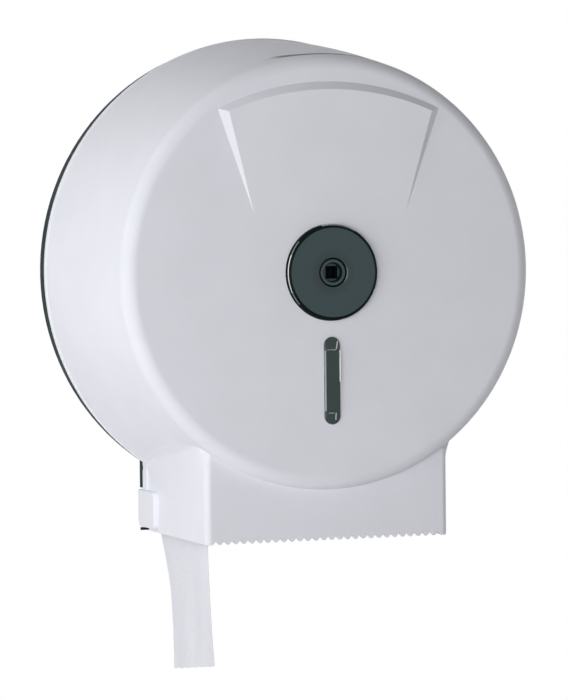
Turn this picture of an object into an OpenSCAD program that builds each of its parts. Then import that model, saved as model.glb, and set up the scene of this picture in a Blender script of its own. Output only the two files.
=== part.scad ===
// Wall-mounted jumbo toilet roll dispenser.
// X runs right, the front faces -Y, Z runs up. The origin is on the drum's
// axis, in the wall plane. "Depth" below always means distance from the wall.

/* [Cover drum] */
// Outer radius of the cover at its rear rim
cover_r = 135; // [132:0.5:142]
// How much smaller the cover is at its front corner
side_taper = 12.2; // [10:0.1:13]
// How far the side bulges out half way along
side_bulge = 1.2; // [0:0.1:2]
// Depth of the cover's rear rim
cover_back = 12.3; // [11:0.1:14]
// Depth of the front face
face_depth = 122; // [112:0.5:130]
// Radius of the front corner
corner_r = 8.6; // [6:0.1:10]
// Wall thickness of the cover
wall = 2.5; // [2:0.1:2.8]
// Length of the bead along the rear rim
bead_len = 3.5; // [2:0.1:5]
// How far the bead stands out
bead_rise = 0.6; // [0.3:0.1:1]

/* [Paper chute] */
// Half width of the chute below the drum
chute_half_w = 73.3; // [66:0.1:76]
// How far the chute's front panel lies behind the front face
chute_setback = 7.8; // [5:0.1:8.5]
// How far the chute reaches below the drum
chute_drop = 16.6; // [14:0.1:22]
// Radius of the chute's front corners
chute_corner_r = 3.7; // [3:0.1:8]
// Length of the fillet's legs between chute and drum
fillet_leg = 11; // [6:0.5:12]
// How far the chute's rear lip stands out
chute_lip_rise = 1.1; // [0.5:0.1:1.4]
// Depth at which the chute's rear lip ends
chute_lip_front = 13; // [10:0.5:16]
// Number of teeth on the tear edge
tooth_count = 30; // [20:1:40]
// Height of a tooth
tooth_h = 2.3; // [1.5:0.1:3]
// Flat at the tip of a tooth
tooth_tip = 0.7; // [0.4:0.1:1.2]
// Plain margin at each end of the tear edge
tooth_margin = 1.3; // [1:0.1:6]

/* [Fan panel] */
// Gap between the panel's top arc and the front corner
fan_edge_gap = 7.2; // [6:0.1:12]
// Drop of the top arc from its middle to its corners
fan_arc_drop = 15.1; // [10:0.1:18]
// Half width at the top corners
fan_half_top = 66.3; // [50:0.1:66.5]
// Length of the panel, top to bottom
fan_len = 73.8; // [60:0.1:76]
// Half width at the lower end
fan_half_low = 45.5; // [35:0.5:50]
// How far the panel stands out at the top arc
fan_rise = 4.2; // [2:0.1:6]
// Width of the bevel along the top arc
fan_bevel = 4.7; // [3:0.1:7]
// Width of the side bevels at the top corners
fan_side_bevel = 4.8; // [3:0.1:7]

/* [Finger grip] */
// Half width of the scooped grip in the top edge
grip_half_w = 33; // [25:1:40]
// Distance from the front face to the rear of the grip
grip_len = 12; // [10:0.5:16]
// How far the grip drops below the drum in the middle
grip_drop = 0.9; // [0.5:0.1:1.5]
// Half width of the raised lip in the grip
grip_lip_half_w = 26.5; // [15:0.5:28]
// Height of the raised lip
grip_lip_rise = 0.7; // [0.4:0.1:1]

/* [Back plate] */
// How much smaller than the cover the plate's rim is
plate_inset = 1.3; // [0.8:0.1:2]
// Thickness of the back plate
plate_t = 2.5; // [2:0.1:3]
// Gap between the cover and the back plate
rim_gap = 0.4; // [0.3:0.05:0.8]
// Radial clearance between the cover and the locating lip
lip_gap = 1.2; // [0.9:0.1:1.5]
// Thickness of the rim and of the locating lip
rim_t = 2.4; // [1.8:0.1:3]
// How far the locating lip reaches into the cover
lip_reach = 4.7; // [3:0.1:6]
// How much wider than the chute the plate's foot is, each side
foot_extra = 1.05; // [0.9:0.05:2.2]
// How far the plate's foot reaches below the chute
foot_drop = 0.6; // [0.3:0.1:0.8]
// Depth of the dark edge beside the chute
foot_edge_depth = 4.9; // [4:0.1:6]
// Thickness of the plate's ears below the hinges
ear_t = 1.2; // [0.8:0.1:1.3]
// Wall screw spacing, left to right
screw_dx = 120; // [100:1:126]
// Wall screw spacing, bottom to top
screw_dz = 120; // [100:1:126]
// Radius of the wall screw holes
screw_hole_r = 2.75; // [2:0.05:3]
// Height of the ribs
rib_h = 3; // [1:0.5:3.5]
// Thickness of the ribs
rib_t = 1.6; // [1:0.1:2.4]
// Number of ribs
rib_count = 12; // [8:4:16]

/* [Hinge] */
// Depth of the hinge axis
hinge_depth = 5.5; // [5.3:0.1:6]
// Height of the hinge axis above the chute's bottom edge
hinge_height = 5.6; // [5.2:0.1:5.8]
// Radius of the hinge pins
hinge_pin_r = 2; // [1.6:0.1:2.2]
// Running clearance round the hinge pins
hinge_play = 0.05; // [0.02:0.01:0.1]
// How far the hinge boss stands out from the chute
boss_rise = 2.8; // [2.4:0.1:4]
// Height of the hinge boss above the hinge axis
boss_h = 18; // [14:0.5:18.5]
// Depth of the front of the hinge boss
boss_front = 30.5; // [20:0.5:32]
// Thickness of the hinge lugs on the back plate
lug_t = 3; // [2.5:0.1:4]
// Gap between each lug and the cover beside it
lug_gap = 0.35; // [0.3:0.05:0.6]

/* [Roll] */
// Radius of the paper roll
roll_r = 95; // [80:1:100]
// Inner radius of the cardboard core
core_r = 22.5; // [22.4:0.1:24]
// Thickness of the cardboard core
core_t = 1.5; // [1:0.1:2]

/* [Spindle] */
// Radius of the fixed spindle post
post_r = 18; // [17.6:0.1:18.2]
// Wall of the spindle post
post_wall = 2.5; // [2:0.1:2.8]
// How far the post ends short of the roll's front
post_short = 1.5; // [1:0.1:2]
// Radius of the spindle post's flange
post_flange_r = 32; // [31.5:0.5:36]
// Thickness of the spindle post's flange
post_flange_t = 3; // [2.5:0.1:3.2]
// Height of the screw pads on the flange
pad_h = 4; // [3:0.1:4.5]
// Radius of the screws that hold the post
post_screw_r = 2; // [1.5:0.1:2.1]
// Radius of the circle that the post screws lie on
post_screw_circle = 27; // [26.8:0.1:27.4]
// Running clearance between the post and the hub
hub_play = 0.08; // [0.03:0.01:0.1]
// Clearance between the hub and the cardboard core
core_play = 0.3; // [0.25:0.01:0.5]
// Radius of the hub's rear flange
hub_flange_r = 40; // [34:0.5:60]
// Thickness of the hub's rear flange
hub_flange_t = 2.5; // [2:0.1:3]
// Thickness of the washer behind the hub
washer_t = 1.5; // [1:0.1:1.8]
// Thickness of the ring that keeps the hub on
ring_t = 1.5; // [1.2:0.1:1.6]
// Running clearance at the hub's ends and beside the roll
end_gap = 0.3; // [0.25:0.05:0.5]

/* [Lock] */
// Radius of the lock's round escutcheon at its base
disc_r = 27.3; // [24:0.1:30]
// How far the escutcheon stands out from the cover
disc_rise = 4; // [3:0.1:5]
// Height of the drafted wall round the escutcheon
disc_wall_h = 2.7; // [1.5:0.1:2.7]
// Distance from the escutcheon's base edge to its flat face
disc_step_w = 2.2; // [1.6:0.1:3]
// Radius of the escutcheon's neck
neck_r = 12.9; // [11:0.1:13.5]
// Length of the neck behind the front face
neck_len = 10; // [9.5:0.1:10.5]
// Radius of the lock barrel's face
barrel_face_r = 7.9; // [7.5:0.1:8.4]
// Radius of the lock barrel's shaft
barrel_r = 6; // [5.8:0.1:6.2]
// Radius of the round recess in the barrel's face
recess_r = 5.4; // [5.3:0.1:5.8]
// Depth of the round recess in the barrel's face
recess_h = 2.4; // [1.5:0.1:3]
// Width of the square key socket
socket_w = 7.2; // [6:0.1:7.4]
// Depth of the square key socket
socket_h = 8.7; // [6:0.1:9]
// Length of the T-bolt's bar
tbar_len = 18; // [14:0.5:18.4]
// Width of the T-bolt's bar
tbar_w = 6; // [5:0.5:6.5]
// Thickness of the T-bolt's bar
tbar_t = 3; // [2.5:0.1:3.2]
// Thickness of the keeper plate
keeper_t = 2.5; // [2:0.1:2.6]
// Wire thickness of the lock spring
spring_wire = 1; // [0.8:0.1:1.2]
// Turns of the lock spring
spring_turns = 3; // [2:0.5:3.5]
// Length of the fitted lock spring
spring_len = 4.6; // [4.2:0.1:4.8]
// Clearance of close fits
fit_gap = 0.05; // [0.02:0.01:0.08]

/* [Level window] */
// Height of the window's centre
window_z = -60.9; // [-66:0.5:-56]
// Length of the window
window_len = 49.4; // [40:0.5:54]
// Width of the window
window_w = 9.6; // [8:0.2:14]
// How far the window's bar stands out
window_rise = 1.8; // [1:0.1:2.4]
// Width of the seat round the window's slot
window_seat = 1.1; // [0.8:0.1:1.6]
// Length of each plain end of the window's bar
window_end = 7.6; // [5:0.2:10]

/* [Paper tail] */
// Thickness of the hanging paper as a solid
tail_t = 0.5; // [0.3:0.1:0.6]
// How far the paper hangs below the chute
tail_hang = 69.4; // [40:1:90]
// How much lower the rear corner hangs than the front corner
tail_slant = 12; // [0:1:20]
// Distance that the lower end drifts to the right
tail_drift = 3.2; // [0:0.1:6]
// How far the rear edge twists to the right of the front edge
tail_twist = 6.7; // [0:0.1:9]

/* [Hidden] */

$fn = 96;
// Overlap where one solid is joined to or cut from another
eps = 0.01;
// Length that surely passes through a wall, and one past the whole object
far = 20;
beyond = 300;

// Colours
white_abs = [0.93, 0.93, 0.94];
smoked_abs = [0.22, 0.27, 0.27];
dark_abs = [0.15, 0.20, 0.19];
tissue = [0.97, 0.97, 0.96];
card = [0.72, 0.62, 0.48];
steel = [0.75, 0.76, 0.78];
acetal = [0.88, 0.88, 0.85];

// Cover, derived
cover_front_r = cover_r - side_taper;
cover_mid_r = (cover_r + cover_front_r) / 2 + side_bulge;
side_front = face_depth - corner_r;
face_back = face_depth - wall;
face_r = cover_front_r - corner_r;
chute_front = face_depth - chute_setback;
chute_bottom = -(cover_r + chute_drop);
chute_back = foot_edge_depth + rim_gap;
chute_root = 45;
chute_top = -(cover_r - chute_root);
chute_in = chute_half_w - wall;

// Back plate, derived
plate_r = cover_r - plate_inset;
rim_front = cover_back - rim_gap;
lip_r = cover_r - wall - lip_gap;
foot_half_w = chute_half_w + foot_extra;
foot_bottom = chute_bottom - foot_drop;

// Hinge, derived
hinge_z = chute_bottom + hinge_height;
boss_top = hinge_z + boss_h;
boss_back = 0.8;
boss_round_r = 4.5;
boss_floor = hinge_z - 4;
boss_slant = 0.15;
boss_out = chute_half_w + boss_rise;
lug_out = chute_in - lug_gap;
lug_in = lug_out - lug_t;
lug_r = 4.6;
pin_end = boss_out - 1.4;
pin_head_t = 1.6;
pin_head_r = hinge_depth - plate_t - end_gap;

// Lock, derived from the front face back to the keeper on the spindle post
keeper_gap = 1;
shank_r = 3;
neck_back = face_depth - neck_len;
barrel_front = face_depth + disc_rise - 0.9;
barrel_seat = face_depth - 0.7;
barrel_tail_r = barrel_r - 1;
clip_t = 0.9;
clip_land = 0.8;
spring_seat = 0.2;
clip_front = neck_back - spring_len - spring_seat;
barrel_back = clip_front - clip_t - clip_land;
keeper_front = barrel_back - keeper_gap;
post_front = keeper_front - keeper_t;
tbar_front = post_front - keeper_gap;
tbar_back = tbar_front - tbar_t;

// Spindle and roll, derived
flange_front = plate_t + post_flange_t;
pad_front = flange_front + pad_h;
hub_back = flange_front + washer_t + end_gap;
hub_flange_back = pad_front + 1.2;
hub_flange_front = hub_flange_back + hub_flange_t;
roll_back = hub_flange_front + end_gap;
roll_front = post_front + post_short;
roll_w = roll_front - roll_back;
post_inner_r = post_r - post_wall;
ring_back = post_front - 3.7;
hub_front = ring_back - end_gap;
hub_inner_r = post_r + hub_play;
hub_outer_r = core_r - core_play;
washer_r = hub_outer_r - 1.2;
// Depth of the groove for a retaining ring, and how far the ring stands out
groove_h = 1;
snap_h = 2.5;
core_outer_r = core_r + core_t;

// Keeper and the small screws, derived
slot_half_w = tbar_w / 2 + 1;
lock_screw_r = 1.5;
lock_head_r = 2.7;
lock_head_h = 1.7;
keeper_screw_r = 1.4;
keeper_screw_x = tbar_len / 2 + 3.9;
keeper_screw_len = 8;
keeper_screw_spare = 2;
keeper_head_r = 2.6;
keeper_head_h = 1.7;
keeper_boss_r = keeper_screw_r + 1.5;
keeper_boss_base = 6;
keeper_boss_len = keeper_screw_len + keeper_boss_base;
post_pad_r = post_screw_r + 2;

// Window, derived
window_slot_w = window_w - 2 * window_seat;
window_slot_len = window_len - 2 * window_seat;
window_back = face_back - 1.8;

// Outer radius of the cover's side, t = 0 at the rim and 1 at the front corner
function side_at(t) = cover_r * (1 - t) * (1 - 2 * t) + 4 * cover_mid_r * t * (1 - t)
    + cover_front_r * t * (2 * t - 1);
function side_r(depth) = side_at((depth - cover_back) / (side_front - cover_back));

// ---------- helpers ----------

// Turns a profile of [radius, depth] points about the drum's axis
module turned() {
    rotate([90, 0, 0]) rotate_extrude() children();
}

// Round bar along the depth, between two depths, at a place [X, Z]
module bar(r, from, to, at = [0, 0]) {
    translate([at[0], -from, at[1]]) rotate([90, 0, 0]) cylinder(r = r, h = to - from);
}

// Tapered round bar between two depths
module cone_bar(r_from, r_to, from, to, at = [0, 0]) {
    translate([at[0], -from, at[1]]) rotate([90, 0, 0]) cylinder(r1 = r_from, r2 = r_to, h = to - from);
}

// Ring between two depths
module ring(r_in, r_out, from, to) {
    difference() {
        bar(r_out, from, to);
        bar(r_in, from - eps, to + eps);
    }
}

// Prism with its outline in [X, Z], between two depths
module front_prism(from, to) {
    translate([0, -from, 0]) rotate([90, 0, 0]) linear_extrude(to - from) children();
}

// Prism with its outline in [depth, Z], between two X places
module side_prism(x_from, x_to) {
    translate([x_from, 0, 0]) rotate([90, 0, 90]) linear_extrude(x_to - x_from) mirror([1, 0]) children();
}

// Round bar along X, at a depth and height
module cross_bar(r, x_from, x_to, depth, z) {
    translate([x_from, -depth, z]) rotate([0, 90, 0]) cylinder(r = r, h = x_to - x_from);
}

// Upright outline with round ends
module capsule(w, len) {
    for (s = [-1, 1]) translate([0, s * (len - w) / 2]) circle(r = w / 2);
    square([w, len - w], center = true);
}

// A shape and its mirror image at the other side
module both_sides() {
    children();
    mirror([1, 0, 0]) children();
}

// ---------- cover ----------

side_steps = 8;
corner_steps = 8;

// Solid of the cover's drum, inset by a wall
module drum_form(inset, back) {
    turned() polygon(concat(
        [[0, back]],
        [for (i = [0 : side_steps])
            let (d = cover_back + (side_front - cover_back) * i / side_steps)
            [side_r(d) - inset, i == 0 ? back : d]],
        [for (i = [1 : corner_steps])
            let (a = 90 * i / corner_steps)
            [face_r + (corner_r - inset) * cos(a), side_front + (corner_r - inset) * sin(a)]],
        [[0, face_depth - inset]]
    ));
}

// Thin bead round the rear rim of the drum
module rim_bead() {
    bead_end = cover_back + bead_len;
    turned() polygon([
        [cover_r - wall / 2, cover_back],
        [cover_r, cover_back],
        [side_r(bead_end) + bead_rise, bead_end],
        [side_r(bead_end + bead_rise), bead_end + bead_rise],
        [cover_r - wall / 2, bead_end + bead_rise]
    ]);
}

// Outline of the chute seen from above, inset by a wall
module chute_plan(inset, back) {
    r = chute_corner_r - inset;
    w = chute_half_w - inset;
    front = chute_front - inset;
    for (s = [-1, 1]) translate([s * (w - r), -front + r]) circle(r = r);
    translate([-w, -front + r]) square([2 * w, front - r - back]);
    translate([-w + r, -front]) square([2 * (w - r), r + eps]);
}

module chute_form(inset, back, bottom) {
    translate([0, 0, bottom]) linear_extrude(chute_top - bottom) chute_plan(inset, back);
}

// Thickened rear lip of the chute's sides, hidden in the drum at its upper end
lip_hidden = 10;
module chute_lips() {
    both_sides() translate([chute_in + eps, -chute_lip_front, chute_bottom + eps])
        cube([wall + chute_lip_rise, chute_lip_front - chute_back, chute_top - chute_bottom - lip_hidden]);
}

// Height at which the chute's side meets the drum
function meet_z(depth) = -sqrt(pow(side_r(depth), 2) - pow(chute_half_w, 2));

// Hollow fillet between the chute's sides and the drum. Its front end slants
// back, so that it runs out before the drum's front corner.
fillet_steps = 6;
function fillet_point(u, drum_end) = pow(1 - u, 2) * [0, -fillet_leg] + pow(u, 2) * drum_end;
module chute_fillets() {
    from = cover_back;
    to = side_front;
    lean = atan((meet_z(to) - meet_z(from)) / (to - from));
    tangent = atan2(chute_half_w, -(meet_z(from) + meet_z(to)) / 2);
    drum_end = fillet_leg * [cos(tangent), sin(tangent)];
    both_sides() difference() {
        translate([chute_half_w, -from, meet_z(from)]) rotate([90 - lean, 0, 0])
            linear_extrude((to - from) / cos(lean)) polygon(concat(
                [[-wall / 2, -fillet_leg]],
                [for (i = [0 : fillet_steps]) fillet_point(i / fillet_steps, drum_end)],
                [drum_end + [-wall / 2, wall / 2], [-wall / 2, 0]]
            ));
        translate([chute_half_w, -chute_front + chute_corner_r, chute_bottom]) rotate([0, 0, 35])
            translate([-far / 2, -far, 0]) cube([3 * far, far, -chute_bottom]);
    }
}

// Space behind the cover that the back plate's round rim fills
module rim_space() {
    bar(plate_r + rim_gap, -eps, cover_back);
}

// Outline of a hinge boss in [depth, Z]
module boss_outline() {
    edge_r = 3;
    translate([boss_back, hinge_z]) square([boss_front - boss_back - edge_r, boss_top - hinge_z]);
    translate([hinge_depth, boss_floor]) square([boss_front - hinge_depth - edge_r, boss_round_r]);
    translate([boss_front - 2 * edge_r, boss_floor + edge_r])
        square([2 * edge_r, boss_top - boss_floor - 2 * edge_r]);
    for (z = [boss_top - edge_r, boss_floor + edge_r]) translate([boss_front - edge_r, z]) circle(r = edge_r);
    translate([hinge_depth, hinge_z]) circle(r = boss_round_r);
}

// The chute's sides are cut back to the hinge boss, which swings clear of the wall
module hinge_relief() {
    both_sides() side_prism(chute_in - eps, chute_half_w + far)
        translate([-eps, chute_bottom - far]) square([chute_lip_front, boss_top - chute_bottom + far]);
}

module hinge_bosses() {
    both_sides() intersection() {
        side_prism(chute_in, boss_out) boss_outline();
        translate([0, 0, boss_floor - boss_round_r]) linear_extrude(boss_top - boss_floor + far) polygon([
            [chute_in - eps, 0],
            [boss_out + eps, 0],
            [boss_out + eps, -boss_front + boss_slant * boss_rise],
            [chute_half_w, -boss_front],
            [chute_in - eps, -boss_front]
        ]);
    }
}

module hinge_bores() {
    both_sides() cross_bar(hinge_pin_r + hinge_play, chute_in - eps, pin_end + end_gap, hinge_depth, hinge_z);
}

// Small nub on the plate's edge and the notch for it in the cover's lip
nub_r = 1.8;
nub_depth = foot_edge_depth - 0.6;
nub_up = 18.7;
nub_z = -(plate_r - nub_up);

// Notches that leave the teeth on the tear edge
tooth_pitch = 2 * (chute_half_w - tooth_margin) / tooth_count;
module tooth_notches() {
    front_prism(chute_front - chute_corner_r, chute_front + eps)
        for (i = [1 : tooth_count - 1])
            translate([(i - tooth_count / 2) * tooth_pitch, chute_bottom]) polygon([
                [-tooth_pitch / 2 + tooth_tip / 2, -eps],
                [0, tooth_h],
                [tooth_pitch / 2 - tooth_tip / 2, -eps]
            ]);
}

// Raised fan-shaped panel that runs out to nothing at its lower end
fan_top = face_r - fan_edge_gap;
fan_low = fan_top - fan_len;
fan_side_len = fan_len - fan_arc_drop;

// Half space inside the bevel along the fan panel's right side
module fan_side() {
    side_angle = atan((fan_half_top - fan_half_low) / fan_side_len);
    corner_rise = fan_rise * fan_side_len / fan_len;
    bevel_angle = atan(fan_side_bevel / corner_rise);
    translate([fan_half_low, -face_depth, fan_low]) rotate([0, side_angle, 0]) rotate([0, 0, -bevel_angle])
        translate([-beyond, -beyond / 2, -beyond / 2]) cube(beyond);
}

module fan_panel() {
    arc_r = (pow(fan_half_top, 2) + pow(fan_arc_drop, 2)) / (2 * fan_arc_drop);
    root = face_depth - 1;
    intersection() {
        cone_bar(arc_r + fan_bevel / fan_rise, arc_r - fan_bevel, root, face_depth + fan_rise,
                 [0, fan_top - arc_r]);
        side_prism(-fan_half_top - far, fan_half_top + far) polygon([
            [root, fan_low],
            [face_depth, fan_low],
            [face_depth + fan_rise, fan_top],
            [face_depth + fan_rise, fan_top + far],
            [root, fan_top + far]
        ]);
        fan_side();
        mirror([1, 0, 0]) fan_side();
    }
}

// Scooped grip in the top front edge, with a raised lip in it
grip_back = face_depth - grip_len;
grip_r0 = side_r(grip_back);
grip_sag = grip_r0 - sqrt(pow(grip_r0, 2) - pow(grip_half_w, 2)) - grip_drop;
grip_arc_r = (pow(grip_half_w, 2) + pow(grip_sag, 2)) / (2 * grip_sag);
grip_arc_z = grip_r0 - grip_drop - grip_arc_r;

module grip_cut() {
    front_prism(grip_back, face_depth - corner_r / 3) difference() {
        translate([-grip_half_w, grip_r0 - far]) square([2 * grip_half_w, 2 * far]);
        translate([0, grip_arc_z]) circle(r = grip_arc_r);
    }
}

module grip_lip() {
    front_prism(grip_back + 2.5, side_front + 2) intersection() {
        difference() {
            translate([0, grip_arc_z]) circle(r = grip_arc_r + grip_lip_rise - 1);
            circle(r = grip_r0 - wall);
        }
        translate([-grip_lip_half_w, grip_r0 - far]) square([2 * grip_lip_half_w, 2 * far]);
    }
}

module cover_shell() {
    difference() {
        union() {
            difference() {
                union() {
                    drum_form(0, cover_back);
                    rim_bead();
                    chute_form(0, chute_back, chute_bottom);
                    chute_lips();
                    chute_fillets();
                }
                grip_cut();
            }
            grip_lip();
            fan_panel();
        }
        drum_form(wall, cover_back - 1);
        chute_form(wall, chute_back - 1, chute_bottom - 1);
        rim_space();
        hinge_relief();
        tooth_notches();
        both_sides() cross_bar(nub_r + rim_gap, chute_half_w, chute_half_w + far, nub_depth, nub_z);
    }
}

module cover() {
    color(white_abs) difference() {
        union() {
            cover_shell();
            hinge_bosses();
        }
        hinge_bores();
        bar(neck_r + fit_gap, face_back - eps, face_depth + eps);
        front_prism(face_back - eps, face_depth + eps) translate([0, window_z])
            capsule(window_slot_w + 2 * fit_gap, window_slot_len + 2 * fit_gap);
    }
}

// ---------- level window ----------

bar_margin = 0.6;
bar_rise = 0.5;
module level_window() {
    color(smoked_abs) translate([0, 0, window_z]) {
        front_prism(face_depth, face_depth + window_rise - bar_rise) capsule(window_w, window_len);
        front_prism(window_back, face_depth + eps) capsule(window_slot_w, window_slot_len);
        front_prism(face_depth, face_depth + window_rise)
            square([window_w - 2 * bar_margin, window_len - 2 * window_end], center = true);
    }
}

module window_retainer() {
    frame_w = 4;
    color(dark_abs) translate([0, 0, window_z]) difference() {
        front_prism(window_back + 0.1, face_back - fit_gap)
            capsule(window_w + 2 * frame_w, window_len + 2 * frame_w);
        front_prism(window_back - 1, face_back + 1)
            capsule(window_slot_w + 2 * fit_gap, window_slot_len + 2 * fit_gap);
    }
}

// ---------- lock ----------

module lock_escutcheon() {
    top = face_depth + disc_rise;
    edge_depth = face_depth + disc_wall_h;
    color(smoked_abs) turned() polygon(concat(
        [
            [barrel_r + fit_gap, neck_back],
            [neck_r, neck_back],
            [neck_r, face_depth],
            [disc_r, face_depth],
            [disc_r - 0.4, edge_depth],
            [disc_r - 0.85, edge_depth + 0.2],
            [disc_r - disc_step_w, top - 0.05],
            [disc_r - disc_step_w - 0.2, top]
        ],
        [
            [barrel_face_r + 0.1, barrel_front],
            [barrel_face_r + 0.1, barrel_seat - 0.1],
            [barrel_r + fit_gap, barrel_seat - 0.1]
        ]
    ));
}

module lock_nut() {
    nut_w = 6;
    nut_t = 3;
    nut_r = neck_r + nut_w;
    nut_back = face_back - nut_t;
    color(acetal) difference() {
        ring(neck_r + fit_gap, nut_r, nut_back, face_back - fit_gap);
        for (a = [0 : 60 : 300]) bar(2, nut_back - 1, face_back + 1, nut_r * [cos(a), sin(a)]);
    }
}

module lock_barrel() {
    socket_front = barrel_front - recess_h;
    color(smoked_abs) difference() {
        union() {
            bar(barrel_face_r, barrel_seat, barrel_front);
            bar(barrel_r, neck_back, barrel_seat + eps);
            bar(barrel_tail_r, barrel_back, neck_back + eps);
        }
        bar(recess_r, socket_front, barrel_front + eps);
        front_prism(socket_front - socket_h, socket_front + eps) square(socket_w, center = true);
        bar(lock_screw_r + fit_gap, barrel_back - eps, socket_front - socket_h - 1.5);
        ring(barrel_tail_r - groove_h, barrel_tail_r + 1, clip_front - clip_t - 2 * fit_gap, clip_front);
    }
}

clip_slot = 4;
module lock_clip() {
    color(steel) difference() {
        ring(barrel_tail_r - groove_h + fit_gap, barrel_tail_r + snap_h,
             clip_front - clip_t - fit_gap, clip_front - fit_gap);
        front_prism(clip_front - 3, clip_front + 1) translate([-clip_slot / 2, -far]) square([clip_slot, far]);
    }
}

module lock_bolt() {
    color(steel) difference() {
        union() {
            front_prism(tbar_back, tbar_front) square([tbar_w, tbar_len], center = true);
            bar(shank_r, tbar_back, barrel_back - fit_gap);
        }
        bar(lock_screw_r + fit_gap, tbar_back - eps, barrel_back + eps);
    }
}

module lock_screw() {
    head_back = tbar_back - lock_head_h;
    color(steel) difference() {
        union() {
            bar(lock_screw_r, head_back + eps, barrel_back + 4);
            bar(lock_head_r, head_back, tbar_back - fit_gap);
        }
        cross_slot(4, head_back - eps, head_back + 0.8);
    }
}

// Spring wire swept along its helix
spring_segments = 14;
spring_sides = 8;
module lock_spring() {
    mean_r = barrel_tail_r + 0.4 + spring_wire / 2;
    start = clip_front + spring_wire / 2 + fit_gap;
    end = neck_back - spring_wire / 2 - end_gap;
    rings = spring_turns * spring_segments;
    points = [for (i = [0 : rings]) for (k = [0 : spring_sides - 1])
        let (
            turn = 360 * i / spring_segments,
            r = mean_r + spring_wire / 2 * cos(360 * k / spring_sides),
            depth = start + (end - start) * i / rings + spring_wire / 2 * sin(360 * k / spring_sides)
        )
        [r * cos(turn), -depth, r * sin(turn)]];
    skin = [for (i = [0 : rings - 1]) for (k = [0 : spring_sides - 1])
        let (a = i * spring_sides + k, b = i * spring_sides + (k + 1) % spring_sides)
        [a, b, b + spring_sides, a + spring_sides]];
    first = [for (k = [spring_sides - 1 : -1 : 0]) k];
    last = [for (k = [0 : spring_sides - 1]) rings * spring_sides + k];
    color(steel) polyhedron(points = points, faces = concat([first, last], skin), convexity = 6);
}

// ---------- spindle ----------

screw_angles = [45 : 90 : 315];

// Cross recess of a screw head, between two depths, at a place [X, Z]
module cross_slot(width, from, to, at = [0, 0]) {
    front_prism(from, to) translate(at) {
        square([width, width / 5], center = true);
        square([width / 5, width], center = true);
    }
}

module spindle_post() {
    color(dark_abs) difference() {
        union() {
            bar(post_flange_r, plate_t, flange_front);
            bar(post_r, flange_front - eps, post_front);
            for (a = screw_angles)
                bar(post_pad_r, flange_front - eps, pad_front, post_screw_circle * [cos(a), sin(a)]);
        }
        difference() {
            bar(post_inner_r, flange_front, post_front + eps);
            for (s = [-1, 1])
                bar(keeper_boss_r, post_front - keeper_boss_len, post_front + 1, [s * keeper_screw_x, 0]);
        }
        for (s = [-1, 1])
            bar(keeper_screw_r + fit_gap, post_front - keeper_screw_len - keeper_screw_spare, post_front + 1,
                [s * keeper_screw_x, 0]);
        for (a = screw_angles)
            bar(post_screw_r + fit_gap, plate_t - eps, pad_front - 0.6, post_screw_circle * [cos(a), sin(a)]);
        ring(post_r - groove_h, post_r + 1, ring_back - fit_gap, ring_back + ring_t + fit_gap);
    }
}

head_r = 3.8;
module spindle_screws() {
    color(steel) for (a = screw_angles) {
        at = post_screw_circle * [cos(a), sin(a)];
        difference() {
            union() {
                cone_bar(head_r, post_screw_r, 0.3, plate_t - 0.2, at);
                bar(post_screw_r, 1, pad_front - 0.8, at);
            }
            cross_slot(4, -eps, 1, at);
        }
    }
}

module lock_keeper() {
    slot_spare = 1;
    swing_room = 6;
    slot_top = tbar_len / 2 + slot_spare;
    slot_low = -(tbar_len / 2 + swing_room);
    color(steel) difference() {
        bar(post_r - 0.4, post_front, keeper_front);
        front_prism(post_front - eps, keeper_front + eps)
            translate([-slot_half_w, slot_low]) square([2 * slot_half_w, slot_top - slot_low]);
        for (s = [-1, 1])
            bar(keeper_screw_r + fit_gap, post_front - eps, keeper_front + eps, [s * keeper_screw_x, 0]);
    }
}

module keeper_screws() {
    color(steel) for (s = [-1, 1]) {
        at = [s * keeper_screw_x, 0];
        difference() {
            union() {
                bar(keeper_screw_r, post_front - keeper_screw_len, keeper_front + 1, at);
                bar(keeper_head_r, keeper_front + fit_gap, keeper_front + keeper_head_h, at);
            }
            cross_slot(3.6, keeper_front + keeper_head_h - 0.8, keeper_front + keeper_head_h + eps, at);
        }
    }
}

module hub_washer() {
    color(acetal) ring(post_r + fit_gap, washer_r, flange_front, flange_front + washer_t);
}

ring_slot = 6;
module hub_ring() {
    color(steel) difference() {
        ring(post_r - groove_h + fit_gap, post_r + snap_h, ring_back, ring_back + ring_t);
        front_prism(ring_back - 1, ring_back + ring_t + 1) translate([-ring_slot / 2, -2 * far])
            square([ring_slot, 2 * far]);
    }
}

// ---------- roll ----------

module core_hub() {
    color(acetal) difference() {
        union() {
            bar(hub_outer_r, hub_back, hub_front);
            bar(hub_flange_r, hub_flange_back, hub_flange_front);
        }
        bar(hub_inner_r, hub_back - eps, hub_front + eps);
    }
}

module roll_core() {
    color(card) ring(core_r, core_outer_r, roll_back, roll_front);
}

module paper_roll() {
    color(tissue) ring(core_outer_r + fit_gap, roll_r, roll_back, roll_front);
}

// Hanging sheet: it leaves the roll at a tangent, turns down at the chute's left
// side, then drifts and twists a little as it hangs
tail_turn = 24.3;
tail_top = -(cover_front_r - tail_turn);
tail_side_gap = 1.3;
tail_x = -(chute_in - tail_t / 2 - tail_side_gap);
tangent_r = roll_r + end_gap + tail_t / 2;
tangent_angle = atan2(tail_top, tail_x) - acos(tangent_r / norm([tail_x, tail_top]));
leave_at = tangent_r * [cos(tangent_angle), sin(tangent_angle)];
slant_rows = 6;
hang_rows = 18;
tail_cols = 4;

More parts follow.
